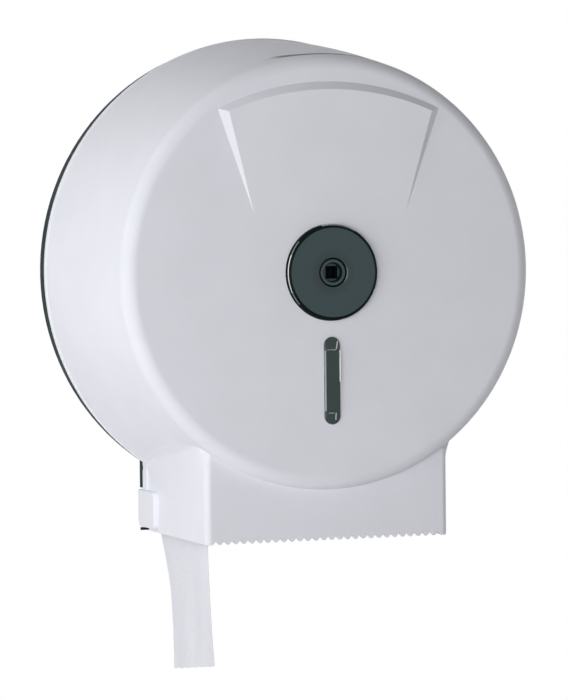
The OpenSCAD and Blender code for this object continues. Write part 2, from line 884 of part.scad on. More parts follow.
function ease(u) = u * u * (3 - 2 * u);
function hang_x(u, v) = tail_x + tail_drift * pow(u, 3) + tail_twist * v * ease(min(u / 0.75, 1));
function hang_z(u, v) = tail_top + u * (chute_bottom - tail_hang - tail_slant * v - tail_top);
function tail_place(i, v) = i < slant_rows
    ? leave_at + ([tail_x, tail_top] - leave_at) * i / slant_rows
    : let (u = (i - slant_rows) / hang_rows) [hang_x(u, v), hang_z(u, v)];

module paper_tail() {
    rows = slant_rows + hang_rows;
    cols = tail_cols;
    span = (rows + 1) * (cols + 1);
    function at(side, i, j) = side * span + i * (cols + 1) + j;
    points = [for (side = [0, 1]) for (i = [0 : rows]) for (j = [0 : cols])
        let (v = j / cols, p = tail_place(i, 1 - v))
        [p[0] + (side - 0.5) * tail_t, -roll_back - roll_w * v, p[1]]];
    cells = [for (i = [0 : rows - 1]) for (j = [0 : cols - 1]) [i, j]];
    left = [for (c = cells) let (i = c[0], j = c[1])
        each [[at(0, i, j), at(0, i, j + 1), at(0, i + 1, j + 1)],
              [at(0, i, j), at(0, i + 1, j + 1), at(0, i + 1, j)]]];
    right = [for (c = cells) let (i = c[0], j = c[1])
        each [[at(1, i, j), at(1, i + 1, j + 1), at(1, i, j + 1)],
              [at(1, i, j), at(1, i + 1, j), at(1, i + 1, j + 1)]]];
    ends = [for (j = [0 : cols - 1])
        each [[at(0, 0, j), at(1, 0, j), at(1, 0, j + 1), at(0, 0, j + 1)],
              [at(0, rows, j), at(0, rows, j + 1), at(1, rows, j + 1), at(1, rows, j)]]];
    edges = [for (i = [0 : rows - 1])
        each [[at(0, i, 0), at(0, i + 1, 0), at(1, i + 1, 0), at(1, i, 0)],
              [at(0, i, cols), at(1, i, cols), at(1, i + 1, cols), at(0, i + 1, cols)]]];
    color(tissue) polyhedron(points = points, faces = concat(left, right, ends, edges), convexity = 4);
}

// ---------- back plate ----------

module plate_rim() {
    difference() {
        turned() polygon([
            [lip_r - rim_t, plate_t - eps],
            [plate_r, plate_t - eps],
            [plate_r, rim_front],
            [lip_r, rim_front],
            [lip_r, cover_back + lip_reach],
            [lip_r - rim_t, cover_back + lip_reach]
        ]);
        // The chute is left open, and the lip also clears the chute's sides
        front_prism(plate_t, cover_back + far)
            translate([-lug_in, -plate_r - far]) square([2 * lug_in, plate_r]);
        front_prism(rim_front, cover_back + far)
            translate([-foot_half_w, -plate_r - far]) square([2 * foot_half_w, plate_r]);
    }
}

// Sheet below the drum, cut away beside the hinge bosses. Its dark edge reaches
// up a little way into the drum.
foot_edge_up = 24;
module plate_foot() {
    gap = 1;
    ear_gap = 0.6;
    difference() {
        union() {
            translate([-foot_half_w, -plate_t, foot_bottom]) cube([2 * foot_half_w, plate_t, far * 3]);
            both_sides() translate([foot_half_w - rim_t, -foot_edge_depth, foot_bottom])
                cube([rim_t, foot_edge_depth, -plate_r + foot_edge_up - foot_bottom]);
            both_sides() cross_bar(nub_r, chute_half_w + rim_gap, foot_half_w, nub_depth, nub_z);
        }
        both_sides() {
            translate([lug_out, -far, boss_floor - ear_gap])
                cube([far, 2 * far, boss_top + gap - boss_floor + ear_gap]);
            translate([lug_out, -far, foot_bottom - eps]) cube([far, far - ear_t, boss_top - foot_bottom]);
        }
    }
}

module hinge_lugs() {
    both_sides() {
        cross_bar(lug_r, lug_in, lug_out, hinge_depth, hinge_z);
        translate([lug_in, -hinge_depth, hinge_z - lug_r]) cube([lug_t, hinge_depth - eps, 2 * lug_r]);
    }
}

module plate_ribs() {
    for (i = [0 : rib_count - 1]) rotate([0, (i + 0.5) * 360 / rib_count, 0])
        translate([post_flange_r + 1, -plate_t - rib_h, -rib_t / 2])
            cube([lip_r - rim_t / 2 - post_flange_r - 1, rib_h + eps, rib_t]);
}

screw_boss_w = 6;
screw_boss_rise = 1.5;
screw_boss_r = screw_hole_r + screw_boss_w;
screw_boss_front = plate_t + rib_h + screw_boss_rise;
module back_plate() {
    color(dark_abs) difference() {
        union() {
            bar(plate_r, 0, plate_t);
            plate_rim();
            plate_foot();
            hinge_lugs();
            plate_ribs();
            for (sx = [-1, 1], sz = [-1, 1])
                bar(screw_boss_r, plate_t - eps, screw_boss_front, [sx * screw_dx / 2, sz * screw_dz / 2]);
        }
        for (sx = [-1, 1], sz = [-1, 1])
            bar(screw_hole_r, -eps, far, [sx * screw_dx / 2, sz * screw_dz / 2]);
        for (a = screw_angles) {
            at = post_screw_circle * [cos(a), sin(a)];
            bar(post_screw_r + fit_gap, -eps, plate_t + eps, at);
            cone_bar(head_r + 0.3 + fit_gap, post_screw_r + fit_gap, -eps, plate_t - 0.15, at);
        }
        both_sides() cross_bar(hinge_pin_r + fit_gap / 2, lug_in - eps, lug_out + eps, hinge_depth, hinge_z);
    }
}

module hinge_pin_right() {
    color(steel) {
        cross_bar(hinge_pin_r, lug_in - 1, pin_end, hinge_depth, hinge_z);
        cross_bar(pin_head_r, lug_in - pin_head_t, lug_in - fit_gap, hinge_depth, hinge_z);
    }
}

module hinge_pin_left() {
    mirror([1, 0, 0]) hinge_pin_right();
}

back_plate();
spindle_post();
spindle_screws();
lock_keeper();
keeper_screws();
hub_washer();
hub_ring();
hinge_pin_left();
hinge_pin_right();
paper_tail();
core_hub();
roll_core();
paper_roll();
cover();
level_window();
window_retainer();
lock_escutcheon();
lock_nut();
lock_barrel();
lock_bolt();
lock_screw();
lock_spring();
lock_clip();
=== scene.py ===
"""A wall-mounted jumbo toilet roll dispenser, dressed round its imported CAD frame."""
import math

import bmesh
import bpy
from mathutils import Matrix, Vector


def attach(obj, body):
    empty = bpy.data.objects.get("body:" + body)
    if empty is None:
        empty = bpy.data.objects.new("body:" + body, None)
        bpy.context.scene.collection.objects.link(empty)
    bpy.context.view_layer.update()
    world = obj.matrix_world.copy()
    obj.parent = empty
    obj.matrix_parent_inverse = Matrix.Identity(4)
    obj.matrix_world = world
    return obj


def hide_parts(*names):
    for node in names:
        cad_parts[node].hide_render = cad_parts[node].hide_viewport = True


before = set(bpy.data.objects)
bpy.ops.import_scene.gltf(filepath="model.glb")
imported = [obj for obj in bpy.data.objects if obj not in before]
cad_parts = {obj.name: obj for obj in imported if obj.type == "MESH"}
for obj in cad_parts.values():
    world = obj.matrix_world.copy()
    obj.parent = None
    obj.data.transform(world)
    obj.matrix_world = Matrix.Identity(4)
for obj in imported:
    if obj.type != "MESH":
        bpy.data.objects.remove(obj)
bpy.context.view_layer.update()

MM = 0.001

# ---------- sizes in mm ----------

# The sizes here are the CAD source's, apart from BOSS_FLOOR: it is 0.6 higher, so that the back
# plate's foot shows below the hinge bosses. The softened edges, the overlaps, the chute's fillet
# and the hanging sheet's thickness, waves, drift and twist are this script's own.

COVER_R = 135.0
SIDE_TAPER = 12.2
SIDE_BULGE = 1.2
COVER_BACK = 12.3
FACE_DEPTH = 122.0
CORNER_R = 8.6
WALL = 2.5
BEAD_LEN = 3.5
BEAD_RISE = 0.6
CHUTE_HALF_W = 73.3
CHUTE_FRONT = FACE_DEPTH - 7.8
CHUTE_BOTTOM = -(COVER_R + 16.6)
CHUTE_TOP = -(COVER_R - 45)
CHUTE_BACK = 5.3
CHUTE_CORNER_R = 3.7
CHUTE_EDGE = 0.5
LIP_RISE = 1.1
LIP_FRONT = 13.0
LIP_LOW = CHUTE_BOTTOM + 0.6
LIP_TOP = CHUTE_TOP - 10
TOOTH_COUNT = 30
TOOTH_H = 2.3
TOOTH_TIP = 0.7
TOOTH_MARGIN = 1.3
NOTCH_PAST = 0.15
NOTCH_SPARE = 0.1
FAN_RISE = 4.2
FAN_LEN = 73.8
FAN_EDGE_GAP = 7.2
FAN_ARC_DROP = 15.1
FAN_HALF_TOP = 66.3
FAN_HALF_LOW = 45.5
FAN_BEVEL = 4.7
FAN_SIDE_BEVEL = 4.8
FAN_ROOT = 1.0
FAN_SOFT = 0.3
FAN_SOFT_ANGLE = 12
FAN_STEPS = 720
GRIP_HALF_W = 33.0
GRIP_LEN = 12.0
GRIP_DROP = 0.9
GRIP_LIP_HALF_W = 26.5
GRIP_LIP_RISE = 0.7
HINGE_DEPTH = 5.5
HINGE_Z = CHUTE_BOTTOM + 5.6
HINGE_BORE_R = 2.05
BOSS_RISE = 2.8
BOSS_TOP = HINGE_Z + 18
BOSS_FLOOR = HINGE_Z - 3.4
BOSS_BACK = 0.8
BOSS_FRONT = 30.5
BOSS_SLANT = 0.15
BOSS_ROUND_R = 4.5
BOSS_ROUND_DROP = 0.5
BOSS_FRONT_R = 3.0
BOSS_BACK_R = 0.8
BOSS_EDGE = 1.1
BOSS_EDGE_STEPS = 5
PIN_END = CHUTE_HALF_W + BOSS_RISE - 1.4
PLATE_R = COVER_R - 1.3
RIM_GAP = 0.4
NUB_R = 1.8
NUB_DEPTH = 4.3
NUB_Z = -(PLATE_R - 18.7)
NECK_R = 12.9
FIT_GAP = 0.05
WINDOW_Z = -60.9
WINDOW_LEN = 49.4
WINDOW_W = 9.6
WINDOW_SEAT = 1.1
PLUG_W = WINDOW_W - 2 * WINDOW_SEAT
PLUG_LEN = WINDOW_LEN - 2 * WINDOW_SEAT

FRONT_R = COVER_R - SIDE_TAPER
MID_R = (COVER_R + FRONT_R) / 2 + SIDE_BULGE
SIDE_FRONT = FACE_DEPTH - CORNER_R
FACE_BACK = FACE_DEPTH - WALL
FACE_R = FRONT_R - CORNER_R
CHUTE_IN = CHUTE_HALF_W - WALL
BOSS_OUT = CHUTE_HALF_W + BOSS_RISE

EPS = 0.01      # how far a cutter or a joined form reaches past a face
SINK = 0.02     # the same where faces meet on a curve
CLEAR = 20.0    # how far a cutter reaches into the open
BEYOND = 300.0  # larger than the object
ROUND_MID = 0.29  # how far a quarter round of radius 1 stands back at its middle

ROUND_STEPS = 288
SIDE_STEPS = 14
CORNER_STEPS = 18
CHUTE_CORNER_STEPS = 8
ARC_STEPS = 40
BAR_STEPS = 48


def side_r(depth):
    """Outer radius of the cover's side: a parabola through its rear, middle and front radii."""
    t = (depth - COVER_BACK) / (SIDE_FRONT - COVER_BACK)
    rear = COVER_R * (1 - t) * (1 - 2 * t)
    return rear + 4 * MID_R * t * (1 - t) + FRONT_R * t * (2 * t - 1)


# ---------- mesh helpers: points are [x, depth, z] in mm, depth from the wall ----------

def outward(mesh):
    """Turns all faces outward."""
    shape = bmesh.new()
    shape.from_mesh(mesh)
    bmesh.ops.recalc_face_normals(shape, faces=shape.faces)
    shape.to_mesh(mesh)
    shape.free()


def solid(name, points, faces):
    """A mesh object from points and faces."""
    mesh = bpy.data.meshes.new(name)
    mesh.from_pydata([(x * MM, -depth * MM, z * MM) for x, depth, z in points], [], faces)
    outward(mesh)
    piece = bpy.data.objects.new(name, mesh)
    bpy.context.scene.collection.objects.link(piece)
    return piece


def loft(name, rings, closed=False):
    """A solid through rings of equally many points, capped at both ends or closed on itself."""
    count = len(rings[0])
    points = [point for ring in rings for point in ring]
    pairs = [(i, i + 1) for i in range(len(rings) - 1)]
    if closed:
        pairs.append((len(rings) - 1, 0))
    faces = [
        (a * count + k, a * count + (k + 1) % count, b * count + (k + 1) % count, b * count + k)
        for a, b in pairs for k in range(count)
    ]
    if not closed:
        faces.append(tuple(range(count)))
        faces.append(tuple(range((len(rings) - 1) * count, len(rings) * count)))
    return solid(name, points, faces)


def circle(r, depth, at=(0.0, 0.0), steps=ROUND_STEPS):
    """A ring of points round an axis along the depth."""
    turns = [2 * math.pi * k / steps for k in range(steps)]
    return [(at[0] + r * math.cos(a), depth, at[1] + r * math.sin(a)) for a in turns]


def turned(name, profile, at=(0.0, 0.0), steps=ROUND_STEPS, closed=False):
    """A solid of revolution from a profile of (radius, depth) points."""
    return loft(name, [circle(r, depth, at, steps) for r, depth in profile], closed)


def arc(centre, r, start, end, steps):
    """Points on an arc between two angles in degrees."""
    angles = [math.radians(start + (end - start) * i / steps) for i in range(steps + 1)]
    return [(centre[0] + r * math.cos(a), centre[1] + r * math.sin(a)) for a in angles]


def front_prism(name, outline, start, end):
    """A prism with its outline in [x, z], between two depths."""
    return loft(name, [[(x, depth, z) for x, z in outline] for depth in (start, end)])


def side_prism(name, outline, start, end):
    """A prism with its outline in [depth, z], between two places along X."""
    return loft(name, [[(x, depth, z) for depth, z in outline] for x in (start, end)])


def rounded(corners, steps=6):
    """An outline from (x, y, radius) corners of a convex polygon, anticlockwise."""
    outline = []
    for i, (x, y, r) in enumerate(corners):
        here = Vector((x, y))
        to_last = (Vector(corners[i - 1][:2]) - here).normalized()
        to_next = (Vector(corners[(i + 1) % len(corners)][:2]) - here).normalized()
        half = to_last.angle(to_next) / 2
        centre = here + (to_last + to_next).normalized() * r / math.sin(half)
        first = here + to_last * r / math.tan(half) - centre
        turn = math.pi - 2 * half
        for k in range(steps + 1):
            outline.append(tuple(centre + Matrix.Rotation(turn * k / steps, 2) @ first))
    return outline


def mirrored(name, piece):
    """A copy of a piece, mirrored to the other side."""
    mesh = piece.data.copy()
    mesh.transform(Matrix.Scale(-1, 4, (1, 0, 0)))
    outward(mesh)
    copy = bpy.data.objects.new(name, mesh)
    bpy.context.scene.collection.objects.link(copy)
    return copy


def settle(piece):
    """Replaces a piece's mesh by what its modifiers make of it."""
    graph = bpy.context.evaluated_depsgraph_get()
    mesh = bpy.data.meshes.new_from_object(piece.evaluated_get(graph))
    piece.modifiers.clear()
    piece.data = mesh


def combine(base, tools, operation):
    """Joins tools to a piece, cuts them from it or keeps what they share, and deletes them."""
    for tool in tools:
        step = base.modifiers.new("combine", "BOOLEAN")
        step.operation = operation
        step.solver = "MANIFOLD"
        step.material_mode = "INDEX"
        step.object = tool
        settle(base)
        bpy.data.objects.remove(tool)


# Groups of faces: the cover's have names here, and the other pieces number theirs themselves
DRUM_FACES, GROOVE_SHADE_FACES, CHUTE_FACES, CUT_FACES, RAISED_FACES, FAN_FACES = range(6)
GROUPS = [bpy.data.materials.new(f"group{i}") for i in range(6)]


def grouped(piece, group):
    """Marks a piece's faces, so that the edge between two groups of faces stays crisp."""
    for material in GROUPS:
        piece.data.materials.append(material)
    for face in piece.data.polygons:
        face.material_index = group
    return piece


def crisp(piece, angle):
    """Smooth faces with sharp edges over an angle in degrees and between groups."""
    mesh = piece.data
    for face in mesh.polygons:
        face.use_smooth = True
    mesh.set_sharp_from_angle(angle=math.radians(angle))
    shape = bmesh.new()
    shape.from_mesh(mesh)
    for edge in shape.edges:
        if len({face.material_index for face in edge.link_faces}) > 1:
            edge.smooth = False
    shape.to_mesh(mesh)
    shape.free()


def dress(piece, node, body, materials, angle=25):
    """Shades a finished piece and lets it stand for its CAD node.

    A group of faces takes the material of its number, or the first one where there are fewer.
    """
    groups = [face.material_index for face in piece.data.polygons]
    crisp(piece, angle)
    piece.data.materials.clear()
    for material in materials:
        piece.data.materials.append(material)
    for face, group in zip(piece.data.polygons, groups):
        face.material_index = group if group < len(materials) else 0
    weigh = piece.modifiers.new("normals", "WEIGHTED_NORMAL")
    weigh.mode = "FACE_AREA"
    weigh.weight = 50
    weigh.keep_sharp = True
    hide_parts(node)
    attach(piece, body)
    return piece


# ---------- cover ----------

def drum(name, inset, back):
    """The drum's form: tapered, bulging side, round front corner and flat face."""
    steps = [COVER_BACK + (SIDE_FRONT - COVER_BACK) * i / SIDE_STEPS for i in range(SIDE_STEPS + 1)]
    profile = [(side_r(steps[0]) - inset, back)] if back < COVER_BACK else []
    profile += [(side_r(depth) - inset, depth) for depth in steps]
    profile += [
        (FACE_R + r, SIDE_FRONT + rise)
        for r, rise in arc((0, 0), CORNER_R - inset, 0, 90, CORNER_STEPS)[1:]
    ]
    return turned(name, profile)


def rim_bead():
    """Thin bead round the drum's rear rim: it slopes out to a crest and falls back."""
    root = COVER_R - WALL / 2
    back = COVER_BACK + SINK
    crest = COVER_BACK + BEAD_LEN
    crest_r = side_r(crest) + BEAD_RISE
    end = crest + BEAD_RISE
    return turned("bead", [
        (root, back), (COVER_R - 0.15, back), (COVER_R + 0.08, COVER_BACK + 0.2),
        (crest_r, crest - 0.3), (crest_r - 0.1, crest), (side_r(end) - SINK, end), (root, end),
    ], closed=True)


def chute_plan(inset, back, z):
    """A level outline of the chute."""
    w = CHUTE_HALF_W - inset
    r = CHUTE_CORNER_R - inset
    front = CHUTE_FRONT - inset
    right = arc((w - r, front - r), r, 0, 90, CHUTE_CORNER_STEPS)
    left = arc((-w + r, front - r), r, 90, 180, CHUTE_CORNER_STEPS)
    return [(x, depth, z) for x, depth in [(w, back)] + right + left + [(-w, back)]]


def chute():
    """The chute's outer form, with a softened lower edge."""
    mid = CHUTE_EDGE * ROUND_MID
    return loft("chute", [
        chute_plan(CHUTE_EDGE, CHUTE_BACK, CHUTE_BOTTOM),
        chute_plan(mid, CHUTE_BACK, CHUTE_BOTTOM + mid),
        chute_plan(0, CHUTE_BACK, CHUTE_BOTTOM + CHUTE_EDGE),
        chute_plan(0, CHUTE_BACK, CHUTE_TOP),
    ])


def chute_lip():
    """Thickened rear lip of the chute's right side."""
    inner = CHUTE_IN + EPS
    outer = CHUTE_HALF_W + LIP_RISE
    back = CHUTE_BACK + EPS
    plan = rounded([
        (inner, back, 0.05), (outer, back, 0.3), (outer, LIP_FRONT, 0.5), (inner, LIP_FRONT, 0.05),
    ], 4)
    return loft("lip", [[(x, depth, z) for x, depth in plan] for z in (LIP_LOW, LIP_TOP)])


# The fillet between the chute's side and the drum is largest at a middle depth and shrinks
# towards both ends. A flat band on the drum follows its upper edge.
FILLET_FROM = COVER_BACK + 0.5
FILLET_TO = CHUTE_FRONT - 0.3
FILLET_MID = 66.0
FILLET_LOW = 24.0
FILLET_ARC = 8.0
FILLET_RISE = 0.55
FILLET_BEND = 0.42
FILLET_REAR_LOSS = 0.76
FILLET_FRONT_ROUND = 0.45
FILLET_LEAST = 0.02
FILLET_SECTIONS = 56
FILLET_CURVE = 14
BAND_W = 6.5
BAND_LEAST = 0.05
BAND_SINK = 0.06
BAND_FADE = 22


def chute_x(depth):
    """Half width of the chute at a depth, round its front corner too."""
    past = depth - (CHUTE_FRONT - CHUTE_CORNER_R)
    if past <= 0:
        return CHUTE_HALF_W
    return CHUTE_HALF_W - CHUTE_CORNER_R + math.sqrt(max(CHUTE_CORNER_R ** 2 - past ** 2, 0.0))


def fillet_size(depth):
    """Size of the fillet at a depth, as a share of its largest."""
    if depth > FILLET_MID:
        share = (depth - FILLET_MID) / (FILLET_TO - FILLET_MID)
        size = max(1 - share ** 3, 0.0) ** FILLET_FRONT_ROUND
    else:
        share = (FILLET_MID - depth) / (FILLET_MID - FILLET_FROM)
        size = 1 - FILLET_REAR_LOSS * share ** 2
    return max(size, FILLET_LEAST)


def fillet_section(depth):
    """Section of the fillet: up the chute's side, out to a crease, along a band on the drum."""
    size = fillet_size(depth)
    r = side_r(min(depth, SIDE_FRONT))
    x = chute_x(depth) - SINK
    base = Vector((x, -math.sqrt(r ** 2 - x ** 2)))
    start_angle = math.atan2(base.x, -base.y)

    def on_drum(distance, rise):
        """A point at a distance along the drum's surface and a height above it."""
        a = start_angle + distance / r
        return Vector(((r + rise) * math.sin(a), -(r + rise) * math.cos(a)))

    fade = max(min(1.0, (SIDE_FRONT + 1 - depth) / BAND_FADE), 0.0)
    foot = base - Vector((0, FILLET_LOW * size))
    crease = on_drum(FILLET_ARC * size, FILLET_RISE * size)
    end = on_drum(FILLET_ARC * size + BAND_LEAST + BAND_W * size * fade, -BAND_SINK)
    bend = Vector((base.x, foot.y + FILLET_BEND * (crease.y - foot.y)))
    curve = [
        foot.lerp(bend, t).lerp(bend.lerp(crease, t), t)
        for t in [i / FILLET_CURVE for i in range(FILLET_CURVE + 1)]
    ]
    inner = [on_drum(FILLET_ARC * size, -WALL / 2), Vector((base.x - WALL / 2, foot.y))]
    return [(p.x, depth, p.y) for p in curve + [end] + inner]


def fillet():
    """Fillet between the chute's right side and the drum."""
    length = FILLET_TO - FILLET_FROM
    return loft("fillet", [
        fillet_section(FILLET_FROM + length * i / FILLET_SECTIONS)
        for i in range(FILLET_SECTIONS + 1)
    ])


def tooth_notches():
    """Notches that leave the teeth on the tear edge."""
    pitch = 2 * (CHUTE_HALF_W - TOOTH_MARGIN) / TOOTH_COUNT
    half = pitch / 2 - TOOTH_TIP / 2
    mouth = CHUTE_BOTTOM - NOTCH_PAST
    points = []
    faces = []
    for i in range(1, TOOTH_COUNT):
        x = (i - TOOTH_COUNT / 2) * pitch
        first = len(points)
        for depth in (CHUTE_FRONT - CHUTE_CORNER_R, CHUTE_FRONT + 1):
            points += [
                (x - half - NOTCH_SPARE, depth, mouth),
                (x, depth, CHUTE_BOTTOM + TOOTH_H),
                (x + half + NOTCH_SPARE, depth, mouth),
            ]
        faces += [(first, first + 1, first + 2), (first + 3, first + 5, first + 4)]
        for a, b in ((0, 1), (1, 2), (2, 0)):
            faces.append((first + a, first + b, first + 3 + b, first + 3 + a))
    return solid("notches", points, faces)


def half_space(name):
    """A large block whose right side lies on the plane X = 0."""
    reach = BEYOND / 2
    corners = [(x, y, z) for x in (-BEYOND, 0) for y in (-reach, reach) for z in (-reach, reach)]
    return solid(name, corners, [
        (0, 1, 3, 2), (4, 6, 7, 5), (0, 4, 5, 1), (2, 3, 7, 6), (0, 2, 6, 4), (1, 5, 7, 3),
    ])


def fan_panel():
    """Raised fan-shaped panel that runs out to nothing at its lower end."""
    fan_top = FACE_R - FAN_EDGE_GAP
    fan_low = fan_top - FAN_LEN
    root = FACE_DEPTH - FAN_ROOT
    crest = FACE_DEPTH + FAN_RISE
    arc_r = (FAN_HALF_TOP ** 2 + FAN_ARC_DROP ** 2) / (2 * FAN_ARC_DROP)
    slope = FAN_BEVEL / FAN_RISE
    panel = turned("fan", [
        (arc_r + FAN_ROOT * slope, root),
        (arc_r - (FAN_RISE + FAN_ROOT) * slope, crest + FAN_ROOT),
    ], at=(0.0, fan_top - arc_r), steps=FAN_STEPS)
    wedge = side_prism("wedge", [
        (root, fan_low), (FACE_DEPTH, fan_low), (crest, fan_top),
        (crest, fan_top + CLEAR), (root, fan_top + CLEAR),
    ], -FAN_HALF_TOP - CLEAR, FAN_HALF_TOP + CLEAR)
    side_len = FAN_LEN - FAN_ARC_DROP
    lean = math.atan((FAN_HALF_TOP - FAN_HALF_LOW) / side_len)
    bevel = math.atan(FAN_SIDE_BEVEL / (FAN_RISE * side_len / FAN_LEN))
    side = half_space("side")
    turn = Matrix.Rotation(lean, 4, "Y") @ Matrix.Rotation(-bevel, 4, "Z")
    corner = Matrix.Translation(Vector((FAN_HALF_LOW, -FACE_DEPTH, fan_low)) * MM)
    side.data.transform(corner @ turn)
    combine(panel, [wedge, mirrored("other", side), side], "INTERSECT")
    soften = panel.modifiers.new("soften", "BEVEL")
    soften.width = FAN_SOFT * MM
    soften.segments = 2
    soften.limit_method = "ANGLE"
    soften.angle_limit = math.radians(FAN_SOFT_ANGLE)
    settle(panel)
    return panel


GRIP_BACK = FACE_DEPTH - GRIP_LEN
GRIP_R0 = side_r(GRIP_BACK)
GRIP_SAG = GRIP_R0 - math.sqrt(GRIP_R0 ** 2 - GRIP_HALF_W ** 2) - GRIP_DROP
GRIP_ARC_R = (GRIP_HALF_W ** 2 + GRIP_SAG ** 2) / (2 * GRIP_SAG)
GRIP_ARC_Z = GRIP_R0 - GRIP_DROP - GRIP_ARC_R
GRIP_STEPS = 24
GRIP_BOW = 8.0
GRIP_BOW_MID = GRIP_BACK + 2
GRIP_FRONT = FACE_DEPTH - CORNER_R / 3
GRIP_LIP_SINK = 1
GRIP_LIP_BACK = GRIP_BACK + 2.5
GROOVE_HALF_W = 31.0
GROOVE_W = 1.1
GROOVE_H = 0.9
GROOVE_STEPS = 20
GROOVE_TOP = 3
GROOVE_LEAST = 0.0004


def grip_rear(x):
    """Depth of the scoop's rear edge, whose ends lie further back than its middle."""
    return GRIP_BOW_MID - GRIP_BOW * (x / GRIP_HALF_W) ** 2


def grip_floor(x):
    """Height of the scoop's floor."""
    return GRIP_ARC_Z + math.sqrt(GRIP_ARC_R ** 2 - x ** 2)


def grip_cut():
    """Scoop in the top edge behind the front corner, with its rear wall painted grey as shade."""
    top = GRIP_R0 + CLEAR
    places = [GRIP_HALF_W * (1 - i / GRIP_STEPS) for i in range(2 * GRIP_STEPS + 1)]
    rear = [(x, grip_rear(x), grip_floor(x)) for x in places]
    front = [(x, GRIP_FRONT, z) for x, _, z in rear]
    scoop = grouped(loft("scoop", [
        row + [(-GRIP_HALF_W, row[-1][1], top), (GRIP_HALF_W, row[0][1], top)]
        for row in (rear, front)
    ]), CUT_FACES)
    # The scoop's rear wall takes the groove's painted shade
    for face in scoop.data.polygons:
        if abs(face.normal.y) > 0.7 and face.center.y > -SIDE_FRONT * MM:
            face.material_index = GROOVE_SHADE_FACES
    return scoop


def grip_groove():
    """Thin groove along the scoop's rear edge, which runs out at both ends."""
    sections = []
    for i in range(2 * GROOVE_STEPS + 1):
        x = GROOVE_HALF_W * (i / GROOVE_STEPS - 1)
        size = math.sqrt(max(1 - (x / GROOVE_HALF_W) ** 2, GROOVE_LEAST))
        floor = grip_floor(x)
        back = grip_rear(x) - 0.1
        front = grip_rear(x) + GROOVE_W * size
        sections.append([
            (x, back, floor + GROOVE_TOP), (x, back, floor - GROOVE_H * size),
            (x, front, floor + EPS), (x, front, floor + GROOVE_TOP),
        ])
    return loft("groove", sections)


def grip_lip():
    """Raised lip in the scoop."""
    r = GRIP_ARC_R + GRIP_LIP_RISE - GRIP_LIP_SINK
    reach = math.degrees(math.asin(GRIP_LIP_HALF_W / r))
    top = arc((0, GRIP_ARC_Z), r, 90 - reach, 90 + reach, ARC_STEPS)
    inner_r = GRIP_R0 - WALL
    low = math.degrees(math.asin(GRIP_LIP_HALF_W / inner_r))
    bottom = arc((0, 0), inner_r, 90 + low, 90 - low, ARC_STEPS)
    return front_prism("grip_lip", top + bottom, GRIP_LIP_BACK, SIDE_FRONT + 2)


def boss_ring(x, inset):
    """Outline of a hinge boss at one place along X, in [depth, z]."""
    back = BOSS_BACK + inset
    front = BOSS_FRONT - BOSS_SLANT * max(x - CHUTE_HALF_W, 0.0) - inset
    outline = rounded([
        (back, BOSS_FLOOR - BOSS_ROUND_DROP + inset, BOSS_ROUND_R - inset),
        (front, BOSS_FLOOR + inset, BOSS_FRONT_R - inset),
        (front, BOSS_TOP - inset, BOSS_FRONT_R - inset),
        (back, BOSS_TOP - inset, BOSS_BACK_R),
    ])
    return [(x, depth, z) for depth, z in outline]


def hinge_boss():
    """Hinge boss at the chute's right side, with softened outer edges."""
    flat_end = BOSS_OUT - BOSS_EDGE
    rings = [boss_ring(x, 0) for x in (CHUTE_IN, CHUTE_HALF_W, flat_end)]
    for i in range(1, BOSS_EDGE_STEPS + 1):
        a = math.radians(90 * i / BOSS_EDGE_STEPS)
        rings.append(boss_ring(flat_end + BOSS_EDGE * math.sin(a), BOSS_EDGE * (1 - math.cos(a))))
    return loft("boss", rings)


def cross_bar(name, r, start, end, depth, z):
    """A round bar along X."""
    ring = arc((depth, z), r, 0, 360 - 360 / BAR_STEPS, BAR_STEPS - 1)
    return loft(name, [[(x, d, h) for d, h in ring] for x in (start, end)])


def capsule(w, length, z, steps=24):
    """Upright outline with round ends, in [x, z]."""
    r = w / 2
    reach = length / 2 - r
    return arc((0, z + reach), r, 0, 180, steps) + arc((0, z - reach), r, 180, 360, steps)


def both(maker, name):
    """A piece made for the right side, and its mirror image."""
    right = maker()
    return [mirrored(name, right), right]


def hollow_cutters():
    """What leaves the cover a shell: its inside, its teeth, and room for the back plate."""
    inner_chute = loft("inner_chute", [
        chute_plan(WALL, CHUTE_BACK - 1, z) for z in (CHUTE_BOTTOM - 1, CHUTE_TOP)
    ])
    rim_space = turned("rim_space", [(PLATE_R + RIM_GAP, depth) for depth in (-1, COVER_BACK)])
    low = CHUTE_BOTTOM - CLEAR
    out = CHUTE_HALF_W + CLEAR
    relief = side_prism("relief", [
        (-1, low), (LIP_FRONT, low), (LIP_FRONT, BOSS_TOP), (-1, BOSS_TOP),
    ], CHUTE_IN - EPS, out)
    nub_space = cross_bar(
        "nub_space", NUB_R + RIM_GAP, CHUTE_HALF_W - EPS, out, NUB_DEPTH, NUB_Z)
    return [
        drum("inner_drum", WALL, COVER_BACK - 1), inner_chute, rim_space, tooth_notches(),
        mirrored("left_relief", relief), relief, mirrored("left_nub", nub_space), nub_space,
    ]


def hole_cutters():
    """Bores of the hinge pins, and the holes for the lock's neck and the window's plug."""
    bore = cross_bar(
        "bore", HINGE_BORE_R, CHUTE_IN - EPS, PIN_END + 0.3, HINGE_DEPTH, HINGE_Z)
    through = (FACE_BACK - EPS, FACE_DEPTH + EPS)
    neck = turned("neck", [(NECK_R + FIT_GAP, depth) for depth in through], steps=128)
    plug = capsule(PLUG_W + 2 * FIT_GAP, PLUG_LEN + 2 * FIT_GAP, WINDOW_Z)
    return [mirrored("left_bore", bore), bore, neck, front_prism("slot", plug, *through)]


